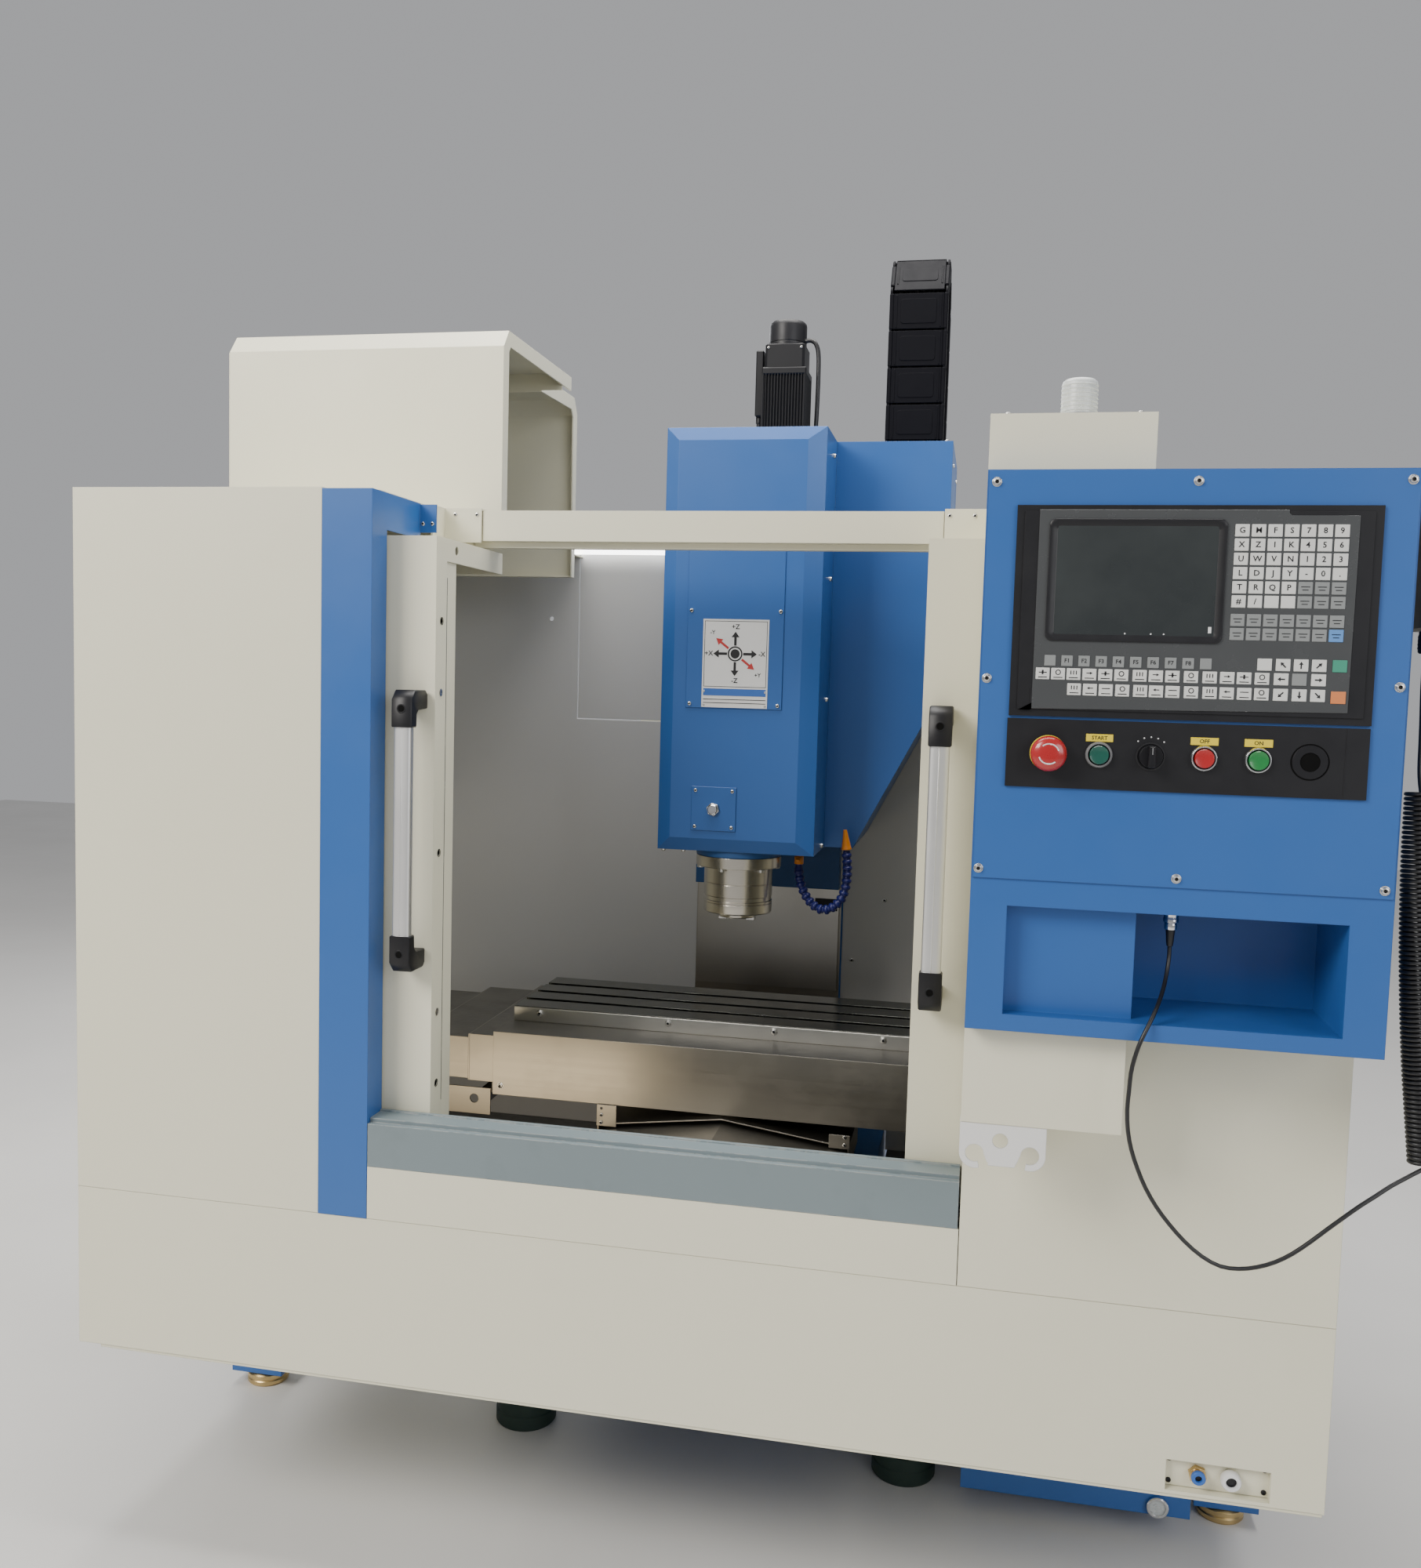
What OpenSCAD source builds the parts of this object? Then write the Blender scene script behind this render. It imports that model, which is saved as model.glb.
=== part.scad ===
// Small vertical machining centre with sliding front doors.
// Lengths are in millimetres. Everything is laid out in machine coordinates:
// X to the right, Y away from the operator from the front panels, Z up from the floor.
// frame() then moves the whole machine so that the origin is at the middle of its footprint.

/* [Enclosure] */
// Half of the width of the base and the front panels
half_w = 885.5; // [880:0.5:890]
// Height of the seam between the base tub and the front panels
seam_z = 557; // [552:1:560]
// Underside of the base tub
base_z = 314.5; // [312:0.5:318]
// Height of the front panels
cover_z = 1597; // [1596:0.5:1598]
// Thickness of the sheet metal
sheet = 3; // [2.5:0.5:3]
// Height of the top of the door sill
sill_z = 705; // [700:1:707]

/* [Doors] */
// Distance from the machine's centre to the edge of each door when it is open
door_in = 343; // [342:0.5:345]
// Width of one door
door_w = 425; // [420:1:430]
// Height of the top of the doors
door_top = 1536; // [1530:1:1537]

/* [Table] */
// Left end of the table
table_x = -376.5; // [-380:0.5:-374]
// Length of the table
table_l = 800; // [796:1:804]
// Depth of the table
table_w = 241; // [238:1:243]
// Height of the table's face
table_z = 756; // [754:1:758]
// Width of a T-slot's mouth
slot_w = 14; // [12:1:14]

/* [Head] */
// Distance of the spindle's axis behind the front panels
spindle_y = 621; // [620:0.5:622]
// Diameter of the spindle cartridge
cartridge_d = 123; // [120:1:125]
// Diameter of the spindle cartridge's flange
flange_d = 153; // [150:1:156]
// Top of the head covers
head_top = 1775; // [1771:1:1777]

/* [Control] */
// Front of the control box
box_y = -150; // [-150:1:-148]
// Top of the control box
box_top = 1593; // [1590:1:1594]

/* [Hidden] */
$fn = 48;

// Outermost limits of the machine, from which the origin follows
x_lo = -910; x_hi = 960.5; y_lo = -186; y_hi = 1730;
module frame() translate([-(x_lo + x_hi) / 2, -(y_lo + y_hi) / 2, 0]) children();

// A box between two corners
module bx(x0, x1, y0, y1, z0, z1) translate([x0, y0, z0]) cube([x1 - x0, y1 - y0, z1 - z0]);
// Upright, crosswise and fore-and-aft cylinders
module cz(x, y, z0, z1, d) translate([x, y, z0]) cylinder(h = z1 - z0, d = d);
module cy(x, z, y0, y1, d) translate([x, y0, z]) rotate([-90, 0, 0]) cylinder(h = y1 - y0, d = d);
module cx(y, z, x0, x1, d) translate([x0, y, z]) rotate([0, 90, 0]) cylinder(h = x1 - x0, d = d);
// The same thing on both sides of the machine
module both() { children(); mirror([1, 0, 0]) children(); }

steel = [0.72, 0.73, 0.74]; beige = [0.83, 0.8, 0.73]; blue = [0.22, 0.42, 0.68];
dark = [0.12, 0.12, 0.13]; stainless = [0.7, 0.68, 0.64];

pad_x = 340; pad_y = [497, 1290];
leg_x = 857; leg_y = [504, 960];

// ---------- bed, column and feet ----------
module bed_casting() color(blue) frame() {
  difference() {
    union() {
      bx(-255, 255, 345, 1420, 120, 430);
      bx(-255, 255, 232, 346, 205, 430);
      for (y = pad_y) bx(-395, 395, y - 55, y + 55, 90, 160);
      for (s = [-1, 1]) bx(s * 150 - 32, s * 150 + 32, 240, 980, 430, 450);
      bx(-230, 230, 1060, 1420, 430, 450);
    }
    bx(-215, 215, 272, 780, 80, 395);
    bx(-215, 215, 830, 1380, 80, 395);
    for (y = pad_y, s = [-1, 1]) cz(s * pad_x, y, 80, 170, 17);
  }
}
module column_casting() color(blue) frame() difference() {
  union() {
    bx(-190, 190, 1105, 1400, 450, 1850);
    bx(-230, 230, 1070, 1420, 450, 485);
    for (s = [-1, 1]) bx(s * 110 - 25, s * 110 + 25, 1097, 1106, 900, 1845);
  }
  bx(-150, 150, 1150, 1410, 500, 1130);
  bx(-150, 150, 1150, 1410, 1180, 1810);
}
module isolation_pads() color(dark) frame()
  for (y = pad_y, s = [-1, 1]) translate([s * pad_x, y, 0]) rotate_extrude()
    polygon([[0, 0], [52, 0], [54, 3], [54, 24], [52, 26], [52, 46], [30, 60], [30, 90], [8, 90], [8, 178], [0, 178]]);
module levelling_feet() color([0.72, 0.6, 0.36]) frame()
  for (y = leg_y, s = [-1, 1]) translate([s * leg_x, y, 0]) rotate_extrude()
    polygon([[0, 0], [35, 0], [37.5, 3], [37.5, 9], [35.5, 11], [37.5, 13], [37.5, 20], [30, 26.7], [8, 26.7], [8, 70], [0, 70]]);

// Box legs under the tub, each with a plate for its foot
module leg_brackets() color(blue) frame() both() for (y = leg_y) difference() {
  union() {
    bx(leg_x - 24, leg_x + 24, y - 30, y + 30, 30, 379.8);
    bx(leg_x - 47, 910, y - 38, y + 38, 27, 37);
  }
  cz(leg_x, y, 20, 80, 17);
  bx(leg_x - 20, leg_x + 20, y - 26, y + 26, 45, 376);
}

// ---------- sheet-metal enclosure ----------
module base_tub() color(beige) frame() difference() {
  union() {
    bx(-half_w, half_w, 0, sheet, base_z, seam_z);
    bx(-half_w, half_w, 1047, 1050, base_z, seam_z - 0.5);
    both() bx(half_w - sheet, half_w, 0, 1050, base_z, seam_z);
    bx(-half_w + 1, half_w - 1, 1, 1049, 380, 383);
    bx(-850, half_w - 2, 2, 34, base_z - 5, base_z + 0.5);
    // pocket for the air and power plate
    bx(690, 823, 0, 18, 316, 364);
  }
  bx(693, 820, -1, 14, 319.5, 360);
  bx(-262, 262, 225, 1060, 370, 395);
  bx(-262, 262, 1040, 1060, 300, 460);
}
module front_covers() color(beige) frame() {
  bx(-half_w, -493, 0, sheet, seam_z + 0.5, cover_z);
  bx(-half_w, -half_w + sheet, 0, 25, seam_z + 0.5, cover_z);
  bx(-half_w, -493, 0, 25, cover_z - sheet, cover_z);
  bx(-496, -493, 0, 25, seam_z + 0.5, cover_z);
  bx(419.5, half_w, 0, sheet, seam_z + 0.5, cover_z);
  bx(half_w - sheet, half_w, 0, 25, seam_z + 0.5, cover_z);
  bx(419.5, half_w, 0, 25, cover_z - sheet, cover_z);
  bx(419.5, 422.5, 0, 45, seam_z + 0.5, cover_z);
}
module door_pillar() color(blue) frame() {
  bx(-492.5, -417, -1, 2, seam_z + 0.5, 1595);
  bx(-492.5, -489.5, -1, 22, seam_z + 0.5, 1595);
  bx(-420, -417, -1, 46, seam_z + 0.5, 1595);
  bx(-420, -417, 0, 161.6, 1543, 1595);
  bx(-420, -391, 158.6, 161.6, 1552, 1593.7);
}
module sill() color([0.5, 0.56, 0.6]) frame() {
  bx(-416.5, 417, -0.5, 2.5, 634.3, sill_z - 8);
  bx(-416.5, 417, -0.5, 46, sill_z - 11, sill_z - 8);
  bx(-416.5, 417, 8, 46, sill_z - 9, sill_z - 2);
  bx(-416.5, 417, 40, 46, 640, sill_z);
  bx(-800, 800, 46, 137, 640, 643);
  bx(-800, 800, 134, 137, 640, 662);
}
module apron() color(beige) frame() {
  bx(-416.5, 418.5, -0.5, 2.5, seam_z + 0.5, 634);
  bx(-416.5, 418.5, 0, 39, 631, 634);
}
module side_panels() color(beige) frame() both() {
  bx(half_w - sheet, half_w, 25.3, 1003, seam_z + 0.5, cover_z - 3.3);
  bx(half_w - 20, half_w, 1003, 1006, seam_z + 0.5, cover_z - 3.3);
}
module roof_panels() color(beige) frame() {
  difference() {
    bx(-half_w, -420.3, 25.3, 999.7, cover_z - 3, cover_z);
    bx(-858, -400, 432, 816.3, cover_z - 10, cover_z + 10);
    bx(-881.2, -400, 797, 816.3, cover_z - 10, cover_z + 10);
  }
  bx(422.8, half_w, 25.3, 999.7, cover_z - 3, cover_z);
}
module back_walls() color([0.6, 0.61, 0.62]) frame() {
  difference() {
    bx(-half_w + 3.3, -153.5, 1000, 1003, 383.5, 1690);
    bx(-427, -220, 990, 1010, 1255, 1606);
    cy(-486.5, 1466, 990, 1010, 9);
    bx(-258, 258, 990, 1010, 380, 432.5);
  }
  bx(-424.5, -222.5, 1000, 1003, 1257.5, 1603.5);
  bx(-236, -206, 1003, 1005, 1300, 1560);
  difference() {
    bx(153.5, half_w - 3.3, 1000, 1003, 383.5, 1690);
    bx(-258, 258, 990, 1010, 380, 432.5);
  }
}
module top_beam() color(beige) frame() {
  // beam, its hanging rail, and the corner pieces
  difference() {
    bx(-882, 882, 255, 300, 1550, 1593.5);
    bx(-883, 883, 258, 301, 1553, 1590.5);
  }
  bx(-354, 354, 253, 256, 1550, 1597);
  bx(-354, 354, 253, 300, 1594, 1597);
  bx(-800, 800, 270, 285, 1541, 1550.1);
  both() {
    bx(355, 419, 249, 252.5, 1547, 1600);
    bx(355, 419, 249, 300, 1597, 1600);
    bx(415.5, 419, 204, 252, 1547, 1600);
  }
}
module work_lamp() color("white") frame() {
  cx(984, 1610.6, -440, -180, 26);
  bx(-436, -184, 984, 999.9, 1604.6, 1616.6);
}

// ---------- empty bay for a tool magazine ----------
hood_f = [[405, 1597.3], [405, 1886], [428, 1916], [773, 1916], [773, 1913], [429.5, 1913], [408, 1885], [408, 1597.3]];
hood_f_lip = [[405, 1597.3], [405, 1886], [428, 1916], [773, 1916], [773, 1891], [437, 1891], [430, 1882], [430, 1597.3]];
hood_r = [[814, 1538], [814, 1853], [794.5, 1882], [724, 1882], [724, 1879], [793, 1879], [811, 1852], [811, 1541], [799, 1541], [799, 1538]];
hood_r_lip = [[814, 1538], [814, 1853], [794.5, 1882], [724, 1882], [600, 1855], [600, 1853], [778, 1857.5], [790, 1844], [797, 1538]];
module hood_sheet(shape, x0, x1) translate([x0, 0, 0]) rotate([90, 0, 90]) linear_extrude(x1 - x0) polygon(shape);
module magazine_hood() color(beige) frame() {
  hood_sheet(hood_f, -880, -380.6);
  hood_sheet(hood_f_lip, -383.6, -380.6);
  hood_sheet(hood_r, -880, -380.6);
  hood_sheet(hood_r_lip, -383.6, -380.6);
  hood_sheet([[408.3, 1597.3], [408.3, 1885], [429.8, 1912.7], [772, 1912.7], [772, 1882], [794.5, 1882], [814, 1853], [814, 1597.3]], -883, -880);
  bx(-880, -383.6, 724, 727, 1881, 1913.2);
}

// ---------- operator's control ----------
module control_box() color(blue) frame() {
  // the niche's shallow left half
  bx(458, 607, -126.5, -123.5, 959, 1090);
  bx(604.5, 607, -126.5, -5.5, 959, 1090);
  difference() {
  bx(416, 878, box_y, -0.5, 940, box_top);
  // space for the electronics, open at the back
  bx(419, 875, box_y + 3.2, 5, 1108, box_top - 3);
  // shelf niche
  bx(459, 833, box_y - 1, -6, 960, 1089);
  // room for the duct column in the niche's left part
  bx(412, 606, -126, 5, 930, box_top + 5);
  for (x = btn_x) cy(x, btn_z, -152, -140, 22.6);
  }
}
module control_face() color(blue) frame() difference() {
  bx(418, 876, box_y - 2.5, box_y, 1121, box_top - 1);
  for (x = btn_x) cy(x, btn_z, -156, -146, 22.6);
}
module duct_column() color(beige) frame() {
  difference() {
    bx(416, 604, -120, -0.6, 817, 1662);
    bx(419, 601, -117, 5, 820, 1659);
  }
}
module controller() color(dark) frame() {
  bx(451, 840.5, -156, box_y - 2.5, 1312, 1552);
  bx(460, 831, -158, -156, 1320, 1545);
}
module switch_plate() color([0.16, 0.16, 0.17]) frame() difference() {
  bx(450, 840, -156, box_y - 2.5, 1230, 1309);
  for (x = btn_x) cy(x, btn_z, -170, -140, 22.6);
}
module hook_plate() color([0.88, 0.86, 0.82]) frame() {
  translate([0, -116, 0]) rotate([90, 0, 0]) linear_extrude(3) difference() {
    union() {
      translate([415.5, 782]) square([102.5, 34.9]);
      translate([434, 779]) circle(18.5);
      translate([499.5, 781]) circle(18.5);
      polygon([[440, 800], [494, 800], [482, 765], [451, 765]]);
    }
    translate([434, 779]) circle(11);
    translate([499.5, 781]) circle(11);
    translate([464, 796.5]) circle(9.2);
    polygon([[436, 779], [445, 779], [451, 765], [453, 755], [441, 755], [439, 766]]);
    polygon([[498, 781], [488.5, 781], [482, 765], [480, 755], [493, 755], [495, 768]]);
  }
  bx(415.5, 518, -118, -98, 813.9, 816.9);
}
module beacon_lamp() color([0.8, 0.82, 0.84]) frame() translate([519, -60, 1662.2]) rotate_extrude()
  polygon([[0, 0], [25, 0], [25, 8], [20, 10], [20, 46], [17, 50], [0, 50]]);

btn_z = 1270;
btn_x = [497, 553.5, 610, 667.5, 725];

module estop_button() color("red") frame() {
  cy(btn_x[0], btn_z, -158, box_y - 1, 22);
  translate([btn_x[0], -157, btn_z]) rotate([90, 0, 0]) rotate_extrude()
    polygon([[0, 0], [11, 0], [11, 7], [14, 12], [20, 16], [20, 23], [17, 28], [0, 29]]);
}
module push_button(i, c) color(c) frame() {
  cy(btn_x[i], btn_z, -162, box_y - 4, 22);
  cy(btn_x[i], btn_z, -166, -161, 21.8);
}
module start_button() push_button(1, "green");
module stop_button() push_button(3, "red");
module power_button() push_button(4, "green");
module selector_switch() color(dark) frame() {
  cy(btn_x[2], btn_z, -158, box_y - 1, 22);
  cy(btn_x[2], btn_z, -170, -157, 27);
  bx(btn_x[2] - 3.5, btn_x[2] + 3.5, -178, -169, btn_z - 12, btn_z + 12);
}

// ---------- hand-wheel pendant and its cord ----------
pend_y = -75; pend_z0 = 1420; pend_z1 = 1590;
module pendant_body() color(dark) frame() {
  bx(903, 943, pend_y - 45, pend_y + 45, pend_z0, pend_z1);
  // hook plate on the control box
  bx(878.1, 880.6, pend_y - 25, pend_y + 25, 1500, 1580);
  bx(880.5, 903.1, pend_y - 20, pend_y + 20, 1552, 1558);
  // axis and step knobs
  cx(pend_y - 22, 1563, 942, 954, 20);
  cx(pend_y + 22, 1563, 942, 954, 20);
  cx(pend_y, 1480, 942, 945, 68);
  // strain relief under the pendant
  difference() { cz(pend_x, pend_y, 1395, pend_z0 + 0.1, 16); cz(pend_x, pend_y, 1390, 1402, 5.6); }
}
module pendant_wheel() color(dark) frame() {
  cx(pend_y, 1480, 945.4, 955, 58);
  cx(pend_y + 20, 1480, 954, 960.5, 10);
}
pend_x = 913;
// Route of the cord: from the plug out of the niche, in a bight to the foot of the coil
lead_low = [[651, -88, 1041.5], [651, -89, 1032], [650, -92, 1022], [648, -98, 1011], [645, -108, 1001], [641, -121, 992],
  [636, -135, 983], [630, -148, 973], [624, -156, 962], [618, -161, 950], [613, -163, 937], [609, -163, 922], [606, -163, 905],
  [605, -163, 885], [604, -163, 862], [606, -162, 838], [611, -161, 815], [619, -161, 793], [629, -160, 771], [642, -160, 750],
  [657, -159, 731], [675, -158, 712], [695, -157, 696], [716, -156, 686], [737, -153, 684], [757, -150, 687], [777, -147, 694],
  [796, -144, 705], [815, -141, 720], [833, -137, 735], [851, -132, 749], [869, -126, 762], [887, -119, 773], [904, -111, 783],
  [921, -103, 791], [936, -97, 798]];
coil_axis = [[944, -80, 798], [938, -80, 850], [930, -80, 920], [923, -80, 1000], [918, -80, 1080], [915, -80, 1160], [914, -80, 1238]];
lead_top = [[914, -80, 1241], [914, -80, 1260], [914, -79, 1290], [913.5, -78, 1320], [913, -76, 1350], [913, -75, 1375], [913, -75, 1394]];

// Tube of n sides and radius r through the points of a path
function unit(v) = v / norm(v);
function tang(p, i) = unit(p[min(i + 1, len(p) - 1)] - p[max(i - 1, 0)]);
function side(t) = unit(cross(t, abs(t[1]) > 0.95 ? [1, 0, 0] : [0, 1, 0]));
module tube(p, r, n) {
  m = len(p);
  pts = [for (i = [0 : m - 1]) let (t = tang(p, i), a = side(t), b = cross(t, a)) for (k = [0 : n - 1])
    p[i] + r * (cos(360 * k / n) * a + sin(360 * k / n) * b)];
  faces = concat([[for (k = [0 : n - 1]) k]], [[for (k = [0 : n - 1]) (m - 1) * n + n - 1 - k]],
    [for (i = [0 : m - 2], k = [0 : n - 1]) [i * n + k, (i + 1) * n + k, (i + 1) * n + (k + 1) % n]],
    [for (i = [0 : m - 2], k = [0 : n - 1]) [i * n + k, (i + 1) * n + (k + 1) % n, i * n + (k + 1) % n]]);
  polyhedron(pts, faces);
}
module pendant_cord() color(dark) frame() { tube(lead_low, 2.5, 8); tube(coil_axis, 14.5, 12); tube(lead_top, 2.5, 8); }
module pendant_plug() color(steel) frame() translate([651, -88, 1042]) rotate_extrude()
  polygon([[0, 0], [4, 0], [5.5, 20], [7, 22], [7, 27], [9, 28], [9, 32], [8, 33], [8, 46.8], [0, 46.8]]);

// ---------- coolant tank and rear cabinet ----------
module coolant_tank() color(blue) frame() {
  difference() {
    bx(437, 794, 400, 1040, 42, 296);
    bx(441, 790, 404, 1036, 46, 300);
  }
  for (x = [475, 756], y = [530, 960]) cz(x, y, 0, 42.2, 34);
  cy(744, 57, 396, 400.2, 34);
}
module electrical_cabinet() color(beige) frame() {
  difference() {
    bx(-400, 400, 1440, 1700, 520, 1620);
    bx(-397, 397, 1443, 1705, 523, 1617);
  }
  // brackets to the column
  both() for (z = [600, 1450]) bx(155, 188, 1400.2, 1440.1, z, z + 80);
}
module cabinet_door() color(beige) frame() {
  bx(-399, 399, 1700.5, 1703.5, 521, 1619);
  cy(340, 1100, 1703, 1712, 40);
  bx(333, 347, 1711, 1730, 1080, 1120);
  for (z = [640, 1500]) cz(-399, 1706.5, z, z + 70, 9);
}

// ---------- sliding doors ----------
dz0 = 650;
module door_shell() difference() {
  union() {
    bx(-door_in - door_w, -door_in, 50, 53, dz0, door_top);
    bx(-door_in - door_w, -door_in - door_w + 3, 50, 126, dz0, door_top);
    bx(-door_in - 3, -door_in, 50, 88, dz0, door_top);
    bx(-door_in - 5, -door_in - 2, 85, 126, dz0, door_top - 22);
    bx(-door_in - 5, -door_in, 85, 88, dz0, door_top);
    bx(-door_in - door_w, -door_in, 50, 126, dz0, dz0 + 3);
    // roof part, with its side and rear flanges and the hanging blocks
    bx(-door_in - door_w, -door_in, 50, 312, door_top - 3, door_top);
    bx(-door_in - 2, -door_in, 88, 312, door_top - 33, door_top);
    bx(-door_in - door_w, -door_in - door_w + 3, 50, 312, door_top - 33, door_top);
    bx(-door_in - door_w, -door_in, 309, 312, door_top - 33, door_top);
    for (x = [-door_in - door_w + 20, -door_in - 90]) difference() {
      bx(x, x + 60, 262, 293, door_top - 0.5, 1548.5);
      bx(x - 1, x + 61, 269.6, 285.4, 1540.6, 1550);
    }
  }
  // window, and the holes in the edge
  bx(-door_in - door_w + 38, -door_in - 92, 40, 60, 830, 1450);
  for (z = [743, 1083, 1417]) cx(70, z, -door_in - 10, -door_in + 10, 9);
  cx(123.4, 1521, -door_in - 10, -door_in + 10, 13);
}
module window() bx(-door_in - door_w + 24, -door_in - 78, 53.1, 59, 816, 1464);
module handle() {
  // bar, and its two end brackets
  bx(-382, -356, -2, 10, 960, 1275);
  for (z = [920, 1268]) difference() {
    bx(-384, -354, -4, 50, z, z + 50);
    bx(-385, -353, 12, 34, z + (z > 1000 ? -1 : 30), z + (z > 1000 ? 20 : 51));
  }
}
module door_left() color(beige) frame() door_shell();
module door_left_window() color([0.7, 0.8, 0.85]) frame() window();
module door_left_handle() color("silver") frame() handle();
module door_right() color(beige) frame() mirror([1, 0, 0]) door_shell();
module door_right_window() color([0.7, 0.8, 0.85]) frame() mirror([1, 0, 0]) window();
module door_right_handle() color("silver") frame() mirror([1, 0, 0]) handle();

// ---------- guideways, saddle and table ----------
module rail(len) linear_extrude(len) polygon([[-15, 0], [15, 0], [15, 9], [10, 14], [15, 20], [15, 27], [-15, 27], [-15, 20], [-10, 14], [-15, 9]]);
module linear_rails() color(steel) frame() {
  for (s = [-1, 1]) translate([s * 150, 980, 450]) rotate([90, 0, 0]) rail(735);
  for (s = [-1, 1]) translate([s * 110, 1097, 905]) rotate([0, 0, 180]) rail(935);
}
module saddle() color([0.8, 0.78, 0.72]) frame() {
  difference() {
    union() {
      bx(-395, 395, 440, 802, 614, 634);
      bx(-210, 210, 575, 790, 512, 616);
      for (y = [511, 731]) bx(-395, 395, y - 22, y + 22, 633, 650);
    }
    for (s = [-1, 1]) translate([s * 150, 565, 0]) bx(-22, 22, 0, 240, 510, 540);
    bx(-50, 50, 560, 800, 510, 560);
  }
  // guide blocks on the bed's rails
  for (s = [-1, 1], y = [580, 700]) difference() {
    bx(s * 150 - 21.7, s * 150 + 21.7, y, y + 80, 458, 540.1);
    translate([s * 150, y + 90, 450]) rotate([90, 0, 0]) linear_extrude(100)
      polygon([[-15.4, -5], [15.4, -5], [15.4, 27.4], [-15.4, 27.4]]);
  }
  // rails for the table
  for (y = [511, 731]) translate([-390, y, 650]) rotate([90, 0, 90]) rail(780);
}
// Folded cover over a slideway: front, top and back in one bend
module cap(x0, x1, y0, y1, z0, z1, t = 2) {
  bx(x0, x1, y0, y0 + t, z0, z1);
  bx(x0, x1, y1 - t, y1, z0, z1);
  bx(x0, x1, y0, y1, z1 - t, z1);
}
// Roof-shaped cover over the bed's rails
module ridge(y0, y1, w, ze, zr) translate([21, y1, 0]) rotate([90, 0, 0]) linear_extrude(y1 - y0)
  polygon([[-w, ze - 45], [-w, ze], [0, zr], [w, ze], [w, ze - 45], [w - 2, ze - 45], [w - 2, ze - 1.6], [0, zr - 2], [-w + 2, ze - 1.6], [-w + 2, ze - 45]]);
module saddle_covers() color(stainless) frame() {
  for (s = [0, 1]) mirror([s, 0, 0]) {
    e = s == 0 ? -643 : -690;
    cap(e, e + (s == 0 ? 204 : 212), 445, 797, 637, 700);
    bx(e - 3, e, 438, 804, 575, 700);
    difference() {
      bx(e - 3, -395.2, 434, 437, 575, 622);
      cy(-425, 602, 430, 440, 16);
    }
    bx(-412, -395.2, 434, 804, 600, 622);
    bx(e - 3, -395.2, 805, 808, 575, 622);
  }
  ridge(410, 574.8, 214, 586, 614);
  difference() {
    bx(-194, -160, 408, 410.2, 583.6, 620);
    for (z = [590, 614]) cy(-186, z, 400, 415, 4.5);
  }
  bx(202, 236, 408, 410.2, 583.6, 606);
}
module y_cover_middle() color(stainless) frame() ridge(160, 495, 207, 578, 605);
module fixed_way_covers() color(stainless) frame() {
  ridge(100, 245, 200, 570, 596);
  bx(-179, 221, 97, 100, 383.3, 560);
  bx(-151, 151, 986, 989, 430.5, 1040);
  bx(-190, 190, 1003.3, 1006, 430.5, 600);
  both() bx(141, 151, 988, 1004, 430.5, 600);
}
module t_slot(y) {
  bx(table_x - 1, table_x + table_l + 1, y - slot_w / 2, y + slot_w / 2, table_z - 26, table_z + 1);
  bx(table_x - 1, table_x + table_l + 1, y - 12, y + 12, table_z - 25, table_z - 14);
}
module table() color([0.5, 0.51, 0.5]) frame() {
  difference() {
    union() {
      bx(table_x, table_x + table_l, 500, 500 + table_w, 722, table_z);
      bx(-185, 232, 503, 738, 705, 723);
    }
    for (y = [557.5, 620.5, 683.5]) t_slot(y);
  }
  // guide blocks on the saddle's rails
  for (x = [-170, 147], y = [511, 731]) difference() {
    bx(x, x + 70, y - 21, y + 21, 660, 705.1);
    translate([x - 1, y, 650]) rotate([90, 0, 90]) linear_extrude(72)
      polygon([[-15.4, -5], [15.4, -5], [15.4, 27.4], [-15.4, 27.4]]);
  }
}
module table_skirts() color(stainless) frame() {
  x1 = 430;
  bx(-383, x1, 412, 414, 620, 730);
  bx(-383, x1, 412, 499.8, 728, 730);
  bx(table_x, table_x + table_l, 497.5, 499.9, 730, 755);
  bx(-383, x1, 828, 830, 620, 730);
  bx(-383, x1, 741.2, 830, 728, 730);
  for (x = [-383, x1 - 2]) bx(x, x + 2, 499, 742, 719.3, 722.2);
  for (x = [-383, x1 - 2], y = [412, 741.2]) bx(x, x + 2, y, y + 88.8, 722, 730);
}
module x_cover_left_1() color(stainless) frame() cap(-433, -318, 425, 817, 637, 719);
module x_cover_left_2() color(stainless) frame() cap(-538, -334, 435, 807, 637, 710);
module x_cover_right_1() color(stainless) frame() cap(365, 480, 425, 817, 637, 719);
module x_cover_right_2() color(stainless) frame() cap(373, 585, 435, 807, 637, 710);

// ---------- head ----------
module headstock() color(blue) frame() {
  difference() {
    union() {
      bx(-148, 148, 950, 983, 928, 1500);
      bx(-148, 148, 950, 1055, 1115, 1500);
      bx(-100, 100, 640, 951, 1040, 1420);
      cz(0, spindle_y, 1034, 1420, 152);
      bx(-76, 76, 620, 700, 1040, 1420);
      bx(-80, 80, 900, 1060, 1499, 1545);
      bx(-80, 80, 930, 1090, 1780, 1795);
      bx(-80, -60, 930, 1060, 1544, 1781);
      bx(60, 80, 930, 1060, 1544, 1781);
    }
    cz(0, spindle_y, 1000, 1450, cartridge_d + 0.04);
    cz(0, 1014, 1770, 1800, 40);
    cz(106, 645, 1030, 1050, 16.6);
  }
  // guide blocks on the column's rails
  for (s = [-1, 1], z = [1120, 1390]) difference() {
    bx(s * 110 - 23, s * 110 + 23, 1054.9, 1088, z, z + 100);
    translate([s * 110, 1097, z - 1]) rotate([0, 0, 180]) linear_extrude(102)
      polygon([[-15.4, -5], [15.4, -5], [15.4, 27.4], [-15.4, 27.4]]);
  }
}
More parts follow.
